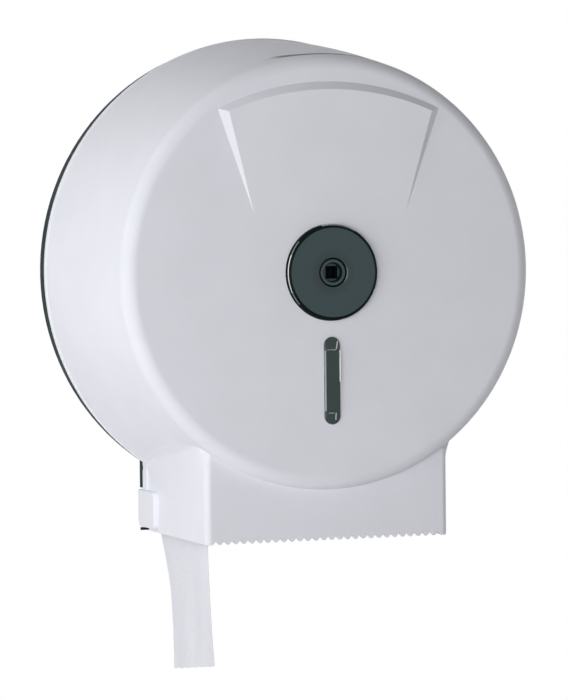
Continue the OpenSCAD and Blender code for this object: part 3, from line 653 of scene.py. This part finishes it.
def make_cover():
    """The white front cover, one shell."""
    cover = grouped(drum("cover_shell", 0, COVER_BACK), DRUM_FACES)

    def add(pieces, group):
        """Joins pieces to the cover as one group of faces."""
        combine(cover, [grouped(piece, group) for piece in pieces], "UNION")

    def cut(pieces, group):
        """Cuts pieces from the cover, which leaves one group of faces."""
        combine(cover, [grouped(piece, group) for piece in pieces], "DIFFERENCE")

    add([rim_bead()], DRUM_FACES)
    add([chute()], CHUTE_FACES)
    add(both(chute_lip, "left_lip"), CHUTE_FACES)
    add(both(fillet, "left_fillet"), CHUTE_FACES)
    combine(cover, [grip_cut()], "DIFFERENCE")
    # The groove's faces take a painted shade
    cut([grip_groove()], GROOVE_SHADE_FACES)
    add([grip_lip()], RAISED_FACES)
    add([fan_panel()], FAN_FACES)
    cut(hollow_cutters(), CUT_FACES)
    add(both(hinge_boss, "left_boss"), RAISED_FACES)
    cut(hole_cutters(), CUT_FACES)
    return dress(cover, "cover", "cover", [WHITE, GROOVE_SHADE])


# ---------- lock and window ----------

DISC_R = 27.3
DISC_TOP = FACE_DEPTH + 4
NECK_BACK = FACE_DEPTH - 10
BARREL_R = 6.0
BARREL_FACE_R = 7.9
BARREL_FRONT = DISC_TOP - 0.9
BARREL_SEAT = FACE_DEPTH - 0.7
BARREL_BACK = 105.5
RECESS_R = 5.4
RECESS_H = 2.4
SOCKET_W = 7.2
SOCKET_H = 8.7
CLIP_GROOVE_FRONT = NECK_BACK - 4.8
PLATE_BORE = BARREL_FACE_R + 0.1
PLATE_STEPS = 192
WALL_TOP = FACE_DEPTH + 2.7


def paint_turned(piece, row, steps, group, start=0.0, end=360.0):
    """Puts a stretch of one row of a turned piece's faces, in degrees, into another group."""
    for k in range(steps):
        if start <= 360 * (k + 0.5) / steps <= end:
            piece.data.polygons[row * steps + k].material_index = group


def make_escutcheon():
    """Round smoked plate round the lock.

    It has a drafted wall, a thin edge with painted highlights at the left and the top, a step
    painted near black as shade, and a dished face with painted shade towards its bore.
    """
    # Groups: the dished face, the rows painted near black as shade, and three painted highlights
    dished, plain, sheen, glint, edge = range(5)
    hidden = [
        (BARREL_R + FIT_GAP, NECK_BACK), (NECK_R - 0.4, NECK_BACK), (NECK_R, NECK_BACK + 0.4),
        (NECK_R, FACE_DEPTH), (DISC_R - 0.1, FACE_DEPTH), (DISC_R, FACE_DEPTH + 0.1),
    ]
    outside = [(DISC_R - 0.4, WALL_TOP), (DISC_R - 0.85, WALL_TOP + 0.2),
               (DISC_R - 2.2, DISC_TOP - 0.05)]
    face = [
        (DISC_R - 2.4, DISC_TOP), (PLATE_BORE + 6, DISC_TOP - 0.1),
        (PLATE_BORE + 2.8, DISC_TOP - 0.25), (PLATE_BORE + 1.1, DISC_TOP - 0.5),
        (PLATE_BORE + 0.35, DISC_TOP - 0.8),
    ]
    groove = [
        (PLATE_BORE + 0.1, DISC_TOP - 1.2), (PLATE_BORE, DISC_TOP - 1.8),
        (PLATE_BORE, BARREL_SEAT - 0.1), (BARREL_R + FIT_GAP, BARREL_SEAT - 0.1),
    ]
    profile = hidden + outside + face + groove
    plate = grouped(turned("escutcheon", profile, steps=PLATE_STEPS, closed=True), dished)
    wall = len(hidden) - 1
    rim = wall + 1
    bore = wall + len(outside) + len(face)
    # Painted shade: the wall, the edge's rows and the bore, near black
    for row in [wall, rim, rim + 1, *range(bore, len(profile))]:
        paint_turned(plate, row, PLATE_STEPS, plain)
    # Painted highlights where the edge would catch the light: a painted sheen and a brighter
    # painted highlight at the left, a painted glint and a painted sheen at the top
    paint_turned(plate, rim, PLATE_STEPS, sheen, 138, 222)
    paint_turned(plate, rim, PLATE_STEPS, edge, 158, 204)
    paint_turned(plate, wall, PLATE_STEPS, glint, 78, 104)
    paint_turned(plate, rim, PLATE_STEPS, sheen, 60, 104)
    return dress(plate, "lock_escutcheon", "cover",
                 [SMOKED_FACE_BORE_SHADE, SMOKED_WALL_SHADE, SMOKED_PAINTED_SHEEN, SMOKED_PAINTED_GLINT, SMOKED_EDGE_HIGHLIGHT])


def make_barrel():
    """Lock barrel with a round recess and a square key socket."""
    plain, dark, floor = range(3)
    steps = 96
    socket_front = BARREL_FRONT - RECESS_H
    back = [
        (BARREL_R - 1, BARREL_BACK), (BARREL_R - 1, NECK_BACK), (BARREL_R, NECK_BACK + SINK),
        (BARREL_R, BARREL_SEAT), (BARREL_FACE_R, BARREL_SEAT),
        (BARREL_FACE_R, BARREL_FRONT - 0.9), (BARREL_FACE_R - 0.45, BARREL_FRONT - 0.25),
        (BARREL_FACE_R - 0.65, BARREL_FRONT),
    ]
    front = [
        (RECESS_R + 0.3, BARREL_FRONT), (RECESS_R, BARREL_FRONT - 0.3),
        (RECESS_R - 0.1, socket_front + 0.3), (RECESS_R - 0.5, socket_front),
    ]
    barrel = grouped(turned("barrel", back + front, steps=steps), plain)
    # Painted shade, near black: the outer chamfer's first row, and the recess's edge, wall and foot
    for row in (len(back) - 3, len(back), len(back) + 1, len(back) + 2):
        paint_turned(barrel, row, steps, dark)
    # The recess's floor takes a painted shade, a little darker than the barrel
    barrel.data.polygons[-1].material_index = floor
    half = SOCKET_W / 2
    corners = [(-half, -half), (half, -half), (half, half), (-half, half)]
    square = rounded([(x, z, 0.3) for x, z in corners], 3)
    socket = front_prism("socket", square, socket_front - SOCKET_H, socket_front + 0.5)
    groove_back = CLIP_GROOVE_FRONT - 1
    groove = turned("groove", [
        (BARREL_R - 2, groove_back), (BARREL_R, groove_back),
        (BARREL_R, CLIP_GROOVE_FRONT), (BARREL_R - 2, CLIP_GROOVE_FRONT),
    ], steps=steps, closed=True)
    # The socket's and the clip groove's faces take the same painted shade
    combine(barrel, [grouped(socket, dark), grouped(groove, dark)], "DIFFERENCE")
    return dress(barrel, "lock_barrel", "lock",
                 [SMOKED, SOCKET_PAINTED_SHADE, SMOKED_FLOOR_SHADE])


WINDOW_RISE = 1.8
WINDOW_CAP_RISE = 1.2
WINDOW_END = 7.6
WINDOW_BACK = FACE_BACK - 1.8
WINDOW_LOW = FACE_DEPTH + 0.3
WINDOW_TOP = FACE_DEPTH + WINDOW_RISE
WINDOW_CAP = FACE_DEPTH + WINDOW_CAP_RISE
BAR_W = 7.9
BAR_LEN = WINDOW_LEN - 2 * WINDOW_END
BAR_TOP = WINDOW_Z + BAR_LEN / 2
BAR_LOW = WINDOW_Z - BAR_LEN / 2
RIB_W = 0.6
RIB_X = (BAR_W + RIB_W) / 2
RAMP_LEN = BAR_LEN * 0.52
LINE_W = 0.4
LINE_TOP = WINDOW_CAP + 0.12


def window_block(name, x, z, w, length, high, draft=0.0, lean=0.0):
    """A box with drafted sides on the window, from its middle and sizes; lean tilts it along X."""
    rings = []
    for depth, inset in ((WINDOW_LOW, 0.0), (high, draft)):
        a, b = w / 2 - inset, length / 2 - inset
        rings.append([(x - a - lean, depth, z - b), (x + a - lean, depth, z - b),
                      (x + a + lean, depth, z + b), (x - a + lean, depth, z + b)])
    return loft(name, rings)


def window_ramp():
    """A strip at the bar's upper right side, whose face looks to the left and takes a painted
    highlight.
    """
    x, end = RIB_X - RIB_W / 2, RIB_X + RIB_W / 2 + 0.15
    section = [
        (x, WINDOW_LOW), (end, WINDOW_LOW), (end, WINDOW_TOP - 0.05), (end - 0.1, WINDOW_TOP),
        (x, WINDOW_TOP - 0.6),
    ]
    return loft("right_rib", [
        [(a, depth, z) for a, depth in section] for z in (BAR_TOP - RAMP_LEN, BAR_TOP)
    ])


def make_window():
    """Smoked level window: a raised bar between two round ends, with painted highlights on its
    edges and lines.
    """
    glass, edges, lines = range(3)

    def ring(inset, depth):
        """The window's outline at a depth, with less width and length."""
        outline = capsule(WINDOW_W - inset, WINDOW_LEN - inset, WINDOW_Z)
        return [(x, depth, z) for x, z in outline]

    plug = 2 * WINDOW_SEAT
    front = FACE_DEPTH + SINK
    window = grouped(loft("window", [
        ring(plug, WINDOW_BACK), ring(plug, front), ring(0.1, front), ring(0.0, FACE_DEPTH + 0.12),
        ring(0.0, FACE_DEPTH + 0.5), ring(0.5, FACE_DEPTH + 0.9), ring(1.3, WINDOW_CAP),
    ]), glass)
    bar = window_block("bar", 0, WINDOW_Z, BAR_W, BAR_LEN, WINDOW_TOP, 0.3)
    ribs = [
        window_ramp(),
        window_block("top_rib", 2.7, BAR_TOP + 2.9, 0.6, 4.6, LINE_TOP, lean=0.4),
        window_block("low_rib", 1.7, BAR_LOW - 3.0, 0.5, 3.8, LINE_TOP, lean=0.1),
    ]
    thin = [
        window_block("left_rib", -RIB_X, WINDOW_Z, RIB_W + 0.3, BAR_LEN, FACE_DEPTH + 1.35, 0.05),
        window_block("top_line", -0.6, BAR_TOP + 0.25, BAR_W - 2.2, LINE_W, LINE_TOP),
        window_block("low_line", -0.8, BAR_LOW - 1.1, BAR_W - 4.6, LINE_W, LINE_TOP),
    ]
    # The ribs take a bright painted highlight, the thin strips a paler one
    combine(window, [grouped(bar, glass)] + [grouped(rib, edges) for rib in ribs], "UNION")
    combine(window, [grouped(line, lines) for line in thin], "UNION")
    return dress(window, "level_window", "cover",
                 [WINDOW_SMOKED, WINDOW_EDGE_HIGHLIGHT, WINDOW_LINE_HIGHLIGHT], 20)


# ---------- paper ----------

ROLL_BACK = 13.5
ROLL_FRONT = 103.5
ROLL_R = 95.0
ROLL_HOLE_R = 24.05
ROLL_EDGE = 0.8
ROLL_ROUNDS = 70
PAPER_T = 0.22
TAIL_X = -69.25
TAIL_Z = -98.5
TAIL_LOW = CHUTE_BOTTOM - 69.4
TAIL_SLANT = 12.0
TAIL_DRIFT = 4.5
TAIL_DRIFT_POWER = 2.6
TAIL_TWIST = 7.5
TAIL_TWIST_START = 0.2
TAIL_TWIST_SPAN = 0.5
TAIL_UNTWIST = 24.0
TAIL_UNTWIST_START = 0.72
TAIL_FREE_START = 0.45
TAIL_FREE_SPAN = 0.5
TAIL_WAVES = [(0.35, 9, 5, 0), (0.2, 17, -8, 1)]          # size, across, down, start
TAIL_TEAR = [(0.16, 37, 0), (0.13, 91, 2), (0.1, 211, 0)]  # size, across, start
TAIL_ROWS = 120
TAIL_COLS = 60
SHEET_GAP = 0.55


def make_roll():
    """The wound paper with slightly uneven windings at its ends."""
    inner = ROLL_HOLE_R + ROLL_EDGE
    step = (ROLL_R - ROLL_EDGE - ROLL_HOLE_R - ROLL_EDGE) / ROLL_ROUNDS

    def end_face(depth, side):
        """Profile of one end of the roll, from its hole to its rim."""
        rows = []
        for i in range(ROLL_ROUNDS + 1):
            rise = 0.10 * math.sin(i * 2.4) + 0.08 * math.sin(i * 5.1 + side)
            rows.append((inner + i * step, depth - side * (0.2 - rise)))
        return rows

    back, front = ROLL_BACK + ROLL_EDGE, ROLL_FRONT - ROLL_EDGE
    profile = end_face(ROLL_FRONT, 1) + [(ROLL_R, front), (ROLL_R, back)]
    profile += reversed(end_face(ROLL_BACK, -1))
    profile += [(ROLL_HOLE_R, back), (ROLL_HOLE_R, front)]
    roll = turned("roll", profile, steps=160, closed=True)
    return dress(roll, "paper_roll", "roll", [TISSUE_ROLL], 60)


def ease(value, start, span):
    """Rises smoothly from 0 to 1 while a value goes through a span."""
    u = min(max((value - start) / span, 0), 1)
    return u * u * (3 - 2 * u)


def tail_point(s, v):
    """A point of the hanging sheet.

    s goes down from 0, where it leaves the roll, to 1; v goes from its front edge to its rear one.
    """
    reach = ROLL_R + SHEET_GAP
    bend = Vector((TAIL_X, TAIL_Z))
    lean = math.atan2(TAIL_Z, TAIL_X) - math.acos(reach / bend.length)
    leave = Vector((math.cos(lean), math.sin(lean))) * reach
    slant = (bend - leave).length
    hang = TAIL_Z - TAIL_LOW + TAIL_SLANT * v
    down = s * (slant + hang)
    if down < slant:
        at = leave.lerp(bend, down / slant)
    else:
        u = (down - slant) / hang
        twist = TAIL_TWIST * ease(u, TAIL_TWIST_START, TAIL_TWIST_SPAN)
        twist -= TAIL_UNTWIST * max(u - TAIL_UNTWIST_START, 0) ** 2
        at = Vector((TAIL_X + TAIL_DRIFT * u ** TAIL_DRIFT_POWER + twist * v, TAIL_Z - u * hang))
    return at.x, ROLL_FRONT - (ROLL_FRONT - ROLL_BACK) * v, at.y


def tail_surface(side):
    """Points of one side of the sheet, row by row: the even form, its waves and its torn end."""
    points = []
    for i in range(TAIL_ROWS + 1):
        for j in range(TAIL_COLS + 1):
            s, v = i / TAIL_ROWS, j / TAIL_COLS
            x, depth, z = tail_point(s, v)
            x += ease(s, TAIL_FREE_START, TAIL_FREE_SPAN) * sum(
                size * math.sin(across * v + down * s + start)
                for size, across, down, start in TAIL_WAVES)
            if i == TAIL_ROWS:
                z += sum(size * math.sin(across * v + start) for size, across, start in TAIL_TEAR)
            points.append((x + side * PAPER_T / 2, depth, z))
    return points


def make_tail():
    """The sheet that hangs from the roll through the chute."""
    rows, cols = TAIL_ROWS, TAIL_COLS
    points = tail_surface(-1) + tail_surface(1)
    row = cols + 1
    span = (rows + 1) * row
    starts = [first + i * row for first in (0, span) for i in range(rows)]
    faces = [
        (a, a + 1, a + row + 1, a + row) for start in starts for a in range(start, start + cols)
    ]
    rim = list(range(row))
    rim += [i * row + cols for i in range(1, rows + 1)]
    rim += [rows * row + j for j in range(cols - 1, -1, -1)]
    rim += [i * row for i in range(rows - 1, 0, -1)]
    for a, b in zip(rim, rim[1:] + rim[:1]):
        faces.append((a, b, b + span, a + span))
    tail = solid("tail", points, faces)
    dress(tail, "paper_tail", "base", [TISSUE], 50)
    middle = [Vector(tail_point(i / rows, 0.5)) for i in range(rows + 1)]
    return tail


# ---------- materials: lengths in mm, colours as linear values ----------

FROM_AXIS = (1, 0, 1)
ALONG_X = (1, 0, 0)
WHITE_COLOUR = (0.79, 0.80, 0.86)
SMOKED_COLOUR = (0.014, 0.040, 0.044)


def new_material(name):
    """A material with its node tree and its main shader."""
    material = bpy.data.materials.new(name)
    material.use_nodes = True
    return material, material.node_tree, material.node_tree.nodes["Principled BSDF"]


def grain(tree, size, detail=2.0, stretch=(1.0, 1.0, 1.0)):
    """Noise with features of about one size in mm, fixed to the piece."""
    place = tree.nodes.new("ShaderNodeTexCoord")
    scaled = tree.nodes.new("ShaderNodeMapping")
    scaled.inputs["Scale"].default_value = stretch
    noise = tree.nodes.new("ShaderNodeTexNoise")
    noise.inputs["Scale"].default_value = 1 / (size * MM)
    noise.inputs["Detail"].default_value = detail
    tree.links.new(place.outputs["Object"], scaled.inputs["Vector"])
    tree.links.new(scaled.outputs[0], noise.inputs["Vector"])
    return noise.outputs["Fac"]


def spread(tree, value, low, high):
    """Maps the middle of a noise value to a range."""
    level = tree.nodes.new("ShaderNodeMapRange")
    level.inputs["From Min"].default_value = 0.3
    level.inputs["From Max"].default_value = 0.7
    level.inputs["To Min"].default_value = low
    level.inputs["To Max"].default_value = high
    tree.links.new(value, level.inputs["Value"])
    return level.outputs[0]


def tint(tree, shader, colour, value, vary):
    """Lets the base colour vary a little round one colour."""
    mix = tree.nodes.new("ShaderNodeMix")
    mix.data_type = "RGBA"
    mix.inputs["A"].default_value = (*[c * (1 - vary) for c in colour], 1)
    mix.inputs["B"].default_value = (*[min(c * (1 + vary), 1) for c in colour], 1)
    tree.links.new(spread(tree, value, 0.0, 1.0), mix.inputs["Factor"])
    tree.links.new(mix.outputs["Result"], shader.inputs["Base Color"])


def bumps(tree, shader, layers):
    """Relief from (height value, depth in mm) layers."""
    last = None
    for value, depth in layers:
        bump = tree.nodes.new("ShaderNodeBump")
        bump.inputs["Distance"].default_value = depth * MM
        tree.links.new(value, bump.inputs["Height"])
        if last:
            tree.links.new(last, bump.inputs["Normal"])
        last = bump.outputs["Normal"]
    tree.links.new(last, shader.inputs["Normal"])


def moulded(name, colour, roughness, specular, vary=0.015, rough_vary=0.05, relief=0.004,
            transmission=0.0):
    """Moulded plastic: fine texture, a slow unevenness and a slightly uneven gloss."""
    material, tree, shader = new_material(name)
    shader.inputs["Specular IOR Level"].default_value = specular
    shader.inputs["Transmission Weight"].default_value = transmission
    tint(tree, shader, colour, grain(tree, 28.0), vary)
    tree.links.new(
        spread(tree, grain(tree, 9.0, 4.0), roughness - rough_vary, roughness + rough_vary),
        shader.inputs["Roughness"],
    )
    bumps(tree, shader, [(grain(tree, 0.9, 3.0), relief), (grain(tree, 12.0, 1.0), relief * 6)])
    return material


def smoked(name, colour, roughness, specular):
    """Smooth smoked plastic."""
    return moulded(name, colour, roughness, specular, 0.05, 0.04, 0.002)


def distance(tree, across):
    """Distance from the piece's origin along the directions that across marks with 1, in m."""
    place = tree.nodes.new("ShaderNodeTexCoord")
    flat = tree.nodes.new("ShaderNodeVectorMath")
    flat.operation = "MULTIPLY"
    flat.inputs[1].default_value = across
    length = tree.nodes.new("ShaderNodeVectorMath")
    length.operation = "LENGTH"
    tree.links.new(place.outputs["Object"], flat.inputs[0])
    tree.links.new(flat.outputs[0], length.inputs[0])
    return length.outputs["Value"]


def soft_step(tree, value, start, end, low=0.0):
    """Rises softly from low to 1 while a value in m goes from start to end in mm."""
    level = tree.nodes.new("ShaderNodeMapRange")
    level.interpolation_type = "SMOOTHSTEP"
    level.inputs["From Min"].default_value = start * MM
    level.inputs["From Max"].default_value = end * MM
    level.inputs["To Min"].default_value = low
    tree.links.new(value, level.inputs["Value"])
    return level.outputs[0]


def base_colour(material):
    """A material's node tree, its base colour input and what feeds it."""
    tree = material.node_tree
    socket = tree.nodes["Principled BSDF"].inputs["Base Color"]
    return tree, socket, socket.links[0].from_socket


def shade_round_bore(material, share, inner, outer):
    """Paints shade on a smoked face: darker softly towards its bore, where the face dishes."""
    tree, socket, colour = base_colour(material)
    level = soft_step(tree, distance(tree, FROM_AXIS), inner, outer, share)
    scale = tree.nodes.new("ShaderNodeVectorMath")
    scale.operation = "SCALE"
    tree.links.new(colour, scale.inputs[0])
    tree.links.new(level, scale.inputs["Scale"])
    tree.links.new(scale.outputs[0], socket)


def fade_to_ends(material, end_colour, inner, outer):
    """Lets a material turn into another colour with the distance from the middle along X."""
    tree, socket, colour = base_colour(material)
    level = soft_step(tree, distance(tree, ALONG_X), inner, outer)
    mix = tree.nodes.new("ShaderNodeMix")
    mix.data_type = "RGBA"
    mix.inputs["B"].default_value = (*end_colour, 1)
    tree.links.new(level, mix.inputs["Factor"])
    tree.links.new(colour, mix.inputs["A"])
    tree.links.new(mix.outputs["Result"], socket)


def winding_value(tree, pitch):
    """Noise that depends on the distance from the roll's axis alone."""
    noise = tree.nodes.new("ShaderNodeTexNoise")
    noise.noise_dimensions = "1D"
    noise.inputs["Scale"].default_value = 1 / (pitch * MM)
    noise.inputs["Detail"].default_value = 3.0
    tree.links.new(distance(tree, FROM_AXIS), noise.inputs["W"])
    return noise.outputs["Fac"]


def tissue(name, colour, wound=False):
    """Soft crepe paper, with winding lines where it is wound."""
    material, tree, shader = new_material(name)
    shader.inputs["Specular IOR Level"].default_value = 0.1
    tree.links.new(spread(tree, grain(tree, 3.0), 0.85, 0.97), shader.inputs["Roughness"])
    crepe = grain(tree, 1.4, 3.0, (1.0, 0.35, 1.6))
    layers = [(crepe, 0.05), (grain(tree, 0.4, 2.0), 0.03), (grain(tree, 14.0, 1.0), 0.3)]
    if wound:
        lines = winding_value(tree, 1.1)
        layers.append((lines, 0.25))
        tint(tree, shader, colour, lines, 0.06)
    else:
        tint(tree, shader, colour, crepe, 0.03)
    bumps(tree, shader, layers)
    return material


def cardboard(name, colour):
    """Grey-brown spiral-wound card."""
    material, tree, shader = new_material(name)
    shader.inputs["Specular IOR Level"].default_value = 0.2
    fibres = grain(tree, 2.2, 5.0, (1.0, 0.25, 1.0))
    tint(tree, shader, colour, fibres, 0.16)
    tree.links.new(spread(tree, fibres, 0.75, 0.92), shader.inputs["Roughness"])
    bumps(tree, shader, [(fibres, 0.06), (grain(tree, 0.5), 0.03)])
    return material


def metal(name, colour, roughness):
    """Bright zinc-plated steel with a fine drawn grain."""
    material, tree, shader = new_material(name)
    shader.inputs["Metallic"].default_value = 1.0
    drawn = grain(tree, 0.5, 3.0, (1.0, 0.15, 1.0))
    tint(tree, shader, colour, grain(tree, 2.5, 3.0), 0.06)
    gloss = spread(tree, drawn, roughness - 0.08, roughness + 0.1)
    tree.links.new(gloss, shader.inputs["Roughness"])
    bumps(tree, shader, [(drawn, 0.01)])
    return material


# Name, colour, roughness and specular level, and for some the unevenness of colour and of gloss,
# the relief and the share of light let through
WHITE = moulded("white_abs", WHITE_COLOUR, 0.5, 0.3)
SMOKED = smoked("smoked", SMOKED_COLOUR, 0.2, 0.5)
# Painted shade for the lock plate's wall, step and bore, near black
SMOKED_WALL_SHADE = smoked("smoked_wall_painted_shade", (0.003, 0.008, 0.007), 0.5, 0.04)
# Painted highlights on the lock plate's edge: a bright edge, a sheen and a glint
SMOKED_EDGE_HIGHLIGHT = smoked("smoked_edge_highlight", (0.55, 0.60, 0.60), 0.18, 1.0)
SMOKED_PAINTED_SHEEN = smoked("smoked_painted_sheen", (0.16, 0.20, 0.20), 0.25, 0.6)
SMOKED_PAINTED_GLINT = smoked("smoked_painted_glint", (0.40, 0.45, 0.45), 0.25, 0.6)
# Painted shade for the barrel recess's floor
SMOKED_FLOOR_SHADE = smoked("smoked_floor_painted_shade", (0.009, 0.028, 0.030), 0.25, 0.4)
# The lock plate's face, with painted shade softly darker towards its bore
SMOKED_FACE_BORE_SHADE = smoked("smoked_face_bore_shade", SMOKED_COLOUR, 0.2, 0.5)
shade_round_bore(SMOKED_FACE_BORE_SHADE, 0.62, 8.5, 14.5)
# Painted shade for the grip's groove and the scoop's rear wall, fading to white towards its ends
GROOVE_SHADE = moulded("groove_painted_shade", (0.24, 0.25, 0.27), 0.6, 0.1)
fade_to_ends(GROOVE_SHADE, WHITE_COLOUR, 20.0, 32.0)
# Painted shade for the barrel's chamfer, recess, socket and clip groove, near black
SOCKET_PAINTED_SHADE = smoked("socket", (0.004, 0.008, 0.008), 0.55, 0.05)
WINDOW_SMOKED = moulded("window", (0.02, 0.055, 0.048), 0.12, 0.42, 0.04, 0.03, 0.0015, 0.35)
# Painted highlights for the window's ribs and thin strips
WINDOW_LINE_HIGHLIGHT = moulded("window_line_highlight", (0.40, 0.43, 0.43), 0.25, 0.5, 0.04, 0.04, 0.0015)
WINDOW_EDGE_HIGHLIGHT = moulded("window_edge_highlight", (0.62, 0.65, 0.65), 0.2, 0.8, 0.04, 0.04, 0.0015)
DARK = moulded("dark_abs", (0.012, 0.026, 0.025), 0.55, 0.05, 0.08, 0.06, 0.006)
ACETAL = moulded("acetal", (0.72, 0.72, 0.69), 0.38, 0.45, 0.03, 0.05, 0.004)
TISSUE = tissue("tissue", (0.80, 0.81, 0.865))
TISSUE_ROLL = tissue("tissue_roll", (0.82, 0.82, 0.83), True)
CARD = cardboard("card", (0.40, 0.30, 0.19))
STEEL = metal("steel", (0.62, 0.62, 0.64), 0.3)


# ---------- pieces, and the finish of the CAD nodes that stay ----------

make_cover()
make_escutcheon()
make_barrel()
make_window()
make_roll()
make_tail()
SLOT_MATERIALS = {
    "white_abs": WHITE, "dark_abs": DARK, "smoked_plastic": SMOKED, "acetal": ACETAL,
    "steel": STEEL, "card": CARD, "tissue": TISSUE,
}
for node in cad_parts.values():
    finish = SLOT_MATERIALS[node.data.materials[0].name.split(".")[0]]
    node.data.materials.clear()
    node.data.materials.append(finish)


# ---------- camera ----------

CAMERA_AZIMUTH = math.radians(-20.39)
CAMERA_ELEVATION = math.radians(2.527)
CAMERA_ROLL = math.radians(-0.578)
CAMERA_DISTANCE = 2137.8 * MM
CAMERA_TARGET = Vector((-5.57, -60.0, -45.887)) * MM
LENS_MM = 190.454
SENSOR_MM = 36.0
CLIP_END = 20


def make_camera():
    """A camera at the photograph's viewing angle, with no shift."""
    back = Vector((
        math.sin(CAMERA_AZIMUTH) * math.cos(CAMERA_ELEVATION),
        -math.cos(CAMERA_AZIMUTH) * math.cos(CAMERA_ELEVATION),
        math.sin(CAMERA_ELEVATION),
    ))
    right = (-back).cross(Vector((0, 0, 1))).normalized()
    up = back.cross(right)
    turn = Matrix.Rotation(CAMERA_ROLL, 3, back)
    axes = Matrix((turn @ right, turn @ up, back)).transposed()
    data = bpy.data.cameras.new("camera")
    data.lens = LENS_MM
    data.sensor_width = SENSOR_MM
    data.clip_end = CLIP_END
    camera = bpy.data.objects.new("camera", data)
    camera.matrix_world = Matrix.Translation(CAMERA_TARGET + back * CAMERA_DISTANCE) @ axes.to_4x4()
    bpy.context.scene.collection.objects.link(camera)
    bpy.context.scene.camera = camera


make_camera()


# ---------- light, floor and background ----------

# Lamps round the object: azimuth and elevation in degrees (0, 0 is straight in front),
# size in m, distance in m, power in W
LAMP_TARGET = Vector((0, -60, -10)) * MM
LAMPS = {
    "front": (-25, 5, 1.2, 2.0, 15.0),
    "left_front": (-62, -5, 0.8, 1.2, 6.3),
    "back_left": (-120, 0, 1.4, 2.0, 3.8),
    "top_back": (-115, 40, 1.4, 2.0, 9.5),
    "right": (105, 0, 1.4, 2.0, 5.0),
    "low_back": (165, -25, 1.6, 2.0, 10.0),
}
AMBIENT = 0.1

# The floor, in m: to the camera its share of pure white rises from near to far
FLOOR_Z = -0.9
FLOOR_SIZE = 12.0
FLOOR_COLOUR = (0.9, 0.9, 0.9)
FLOOR_GLOW = (0.94, 1.0)
FLOOR_NEAR = 1.5
FLOOR_FAR = 3.2


def make_lamp(name, azimuth, elevation, size, distance, power):
    """A square soft lamp that faces the object."""
    a, e = math.radians(azimuth), math.radians(elevation)
    away = Vector((math.sin(a) * math.cos(e), -math.cos(a) * math.cos(e), math.sin(e)))
    data = bpy.data.lights.new(name, "AREA")
    data.size = size
    data.energy = power
    lamp = bpy.data.objects.new(name, data)
    aim = away.to_track_quat("Z", "Y").to_matrix().to_4x4()
    lamp.matrix_world = Matrix.Translation(LAMP_TARGET + away * distance) @ aim
    bpy.context.scene.collection.objects.link(lamp)


def seen_directly(tree):
    """1 for camera, glossy and transmission rays, 0 for the rest."""
    path = tree.nodes.new("ShaderNodeLightPath")
    total = path.outputs["Is Camera Ray"]
    for name in ("Is Glossy Ray", "Is Transmission Ray"):
        add = tree.nodes.new("ShaderNodeMath")
        add.operation = "ADD"
        tree.links.new(total, add.inputs[0])
        tree.links.new(path.outputs[name], add.inputs[1])
        total = add.outputs[0]
    return total


def make_world():
    """White to the camera and in reflections, softer as light."""
    world = bpy.data.worlds.new("world")
    bpy.context.scene.world = world
    world.use_nodes = True
    tree = world.node_tree
    back = tree.nodes["Background"]
    back.inputs["Color"].default_value = (1, 1, 1, 1)
    level = tree.nodes.new("ShaderNodeMapRange")
    level.inputs["To Min"].default_value = AMBIENT
    level.inputs["To Max"].default_value = 1.0
    tree.links.new(seen_directly(tree), level.inputs["Value"])
    tree.links.new(level.outputs[0], back.inputs["Strength"])


def make_floor():
    """A plain pale floor, far below, that keeps the object's shadow."""
    mesh = bpy.data.meshes.new("floor")
    half = FLOOR_SIZE / 2
    corners = ((-half, -half), (half, -half), (half, half), (-half, half))
    mesh.from_pydata([(x, y, FLOOR_Z) for x, y in corners], [], [(0, 1, 2, 3)])
    floor = bpy.data.objects.new("floor", mesh)
    bpy.context.scene.collection.objects.link(floor)
    material, tree, shader = new_material("floor")
    shader.inputs["Base Color"].default_value = (*FLOOR_COLOUR, 1)
    shader.inputs["Roughness"].default_value = 0.9
    glow = tree.nodes.new("ShaderNodeEmission")
    mix = tree.nodes.new("ShaderNodeMixShader")
    share = tree.nodes.new("ShaderNodeMath")
    share.operation = "MULTIPLY"
    place = tree.nodes.new("ShaderNodeTexCoord")
    reach = tree.nodes.new("ShaderNodeVectorMath")
    reach.operation = "LENGTH"
    level = tree.nodes.new("ShaderNodeMapRange")
    level.inputs["From Min"].default_value = FLOOR_NEAR
    level.inputs["From Max"].default_value = FLOOR_FAR
    level.inputs["To Min"].default_value, level.inputs["To Max"].default_value = FLOOR_GLOW
    tree.links.new(place.outputs["Object"], reach.inputs[0])
    tree.links.new(reach.outputs["Value"], level.inputs["Value"])
    tree.links.new(seen_directly(tree), share.inputs[0])
    tree.links.new(level.outputs[0], share.inputs[1])
    tree.links.new(share.outputs[0], mix.inputs[0])
    tree.links.new(shader.outputs[0], mix.inputs[1])
    tree.links.new(glow.outputs[0], mix.inputs[2])
    tree.links.new(mix.outputs[0], tree.nodes["Material Output"].inputs["Surface"])
    mesh.materials.append(material)


for lamp_name, settings in LAMPS.items():
    make_lamp(lamp_name, *settings)
make_world()
make_floor()
bpy.context.scene.view_settings.view_transform = "Standard"
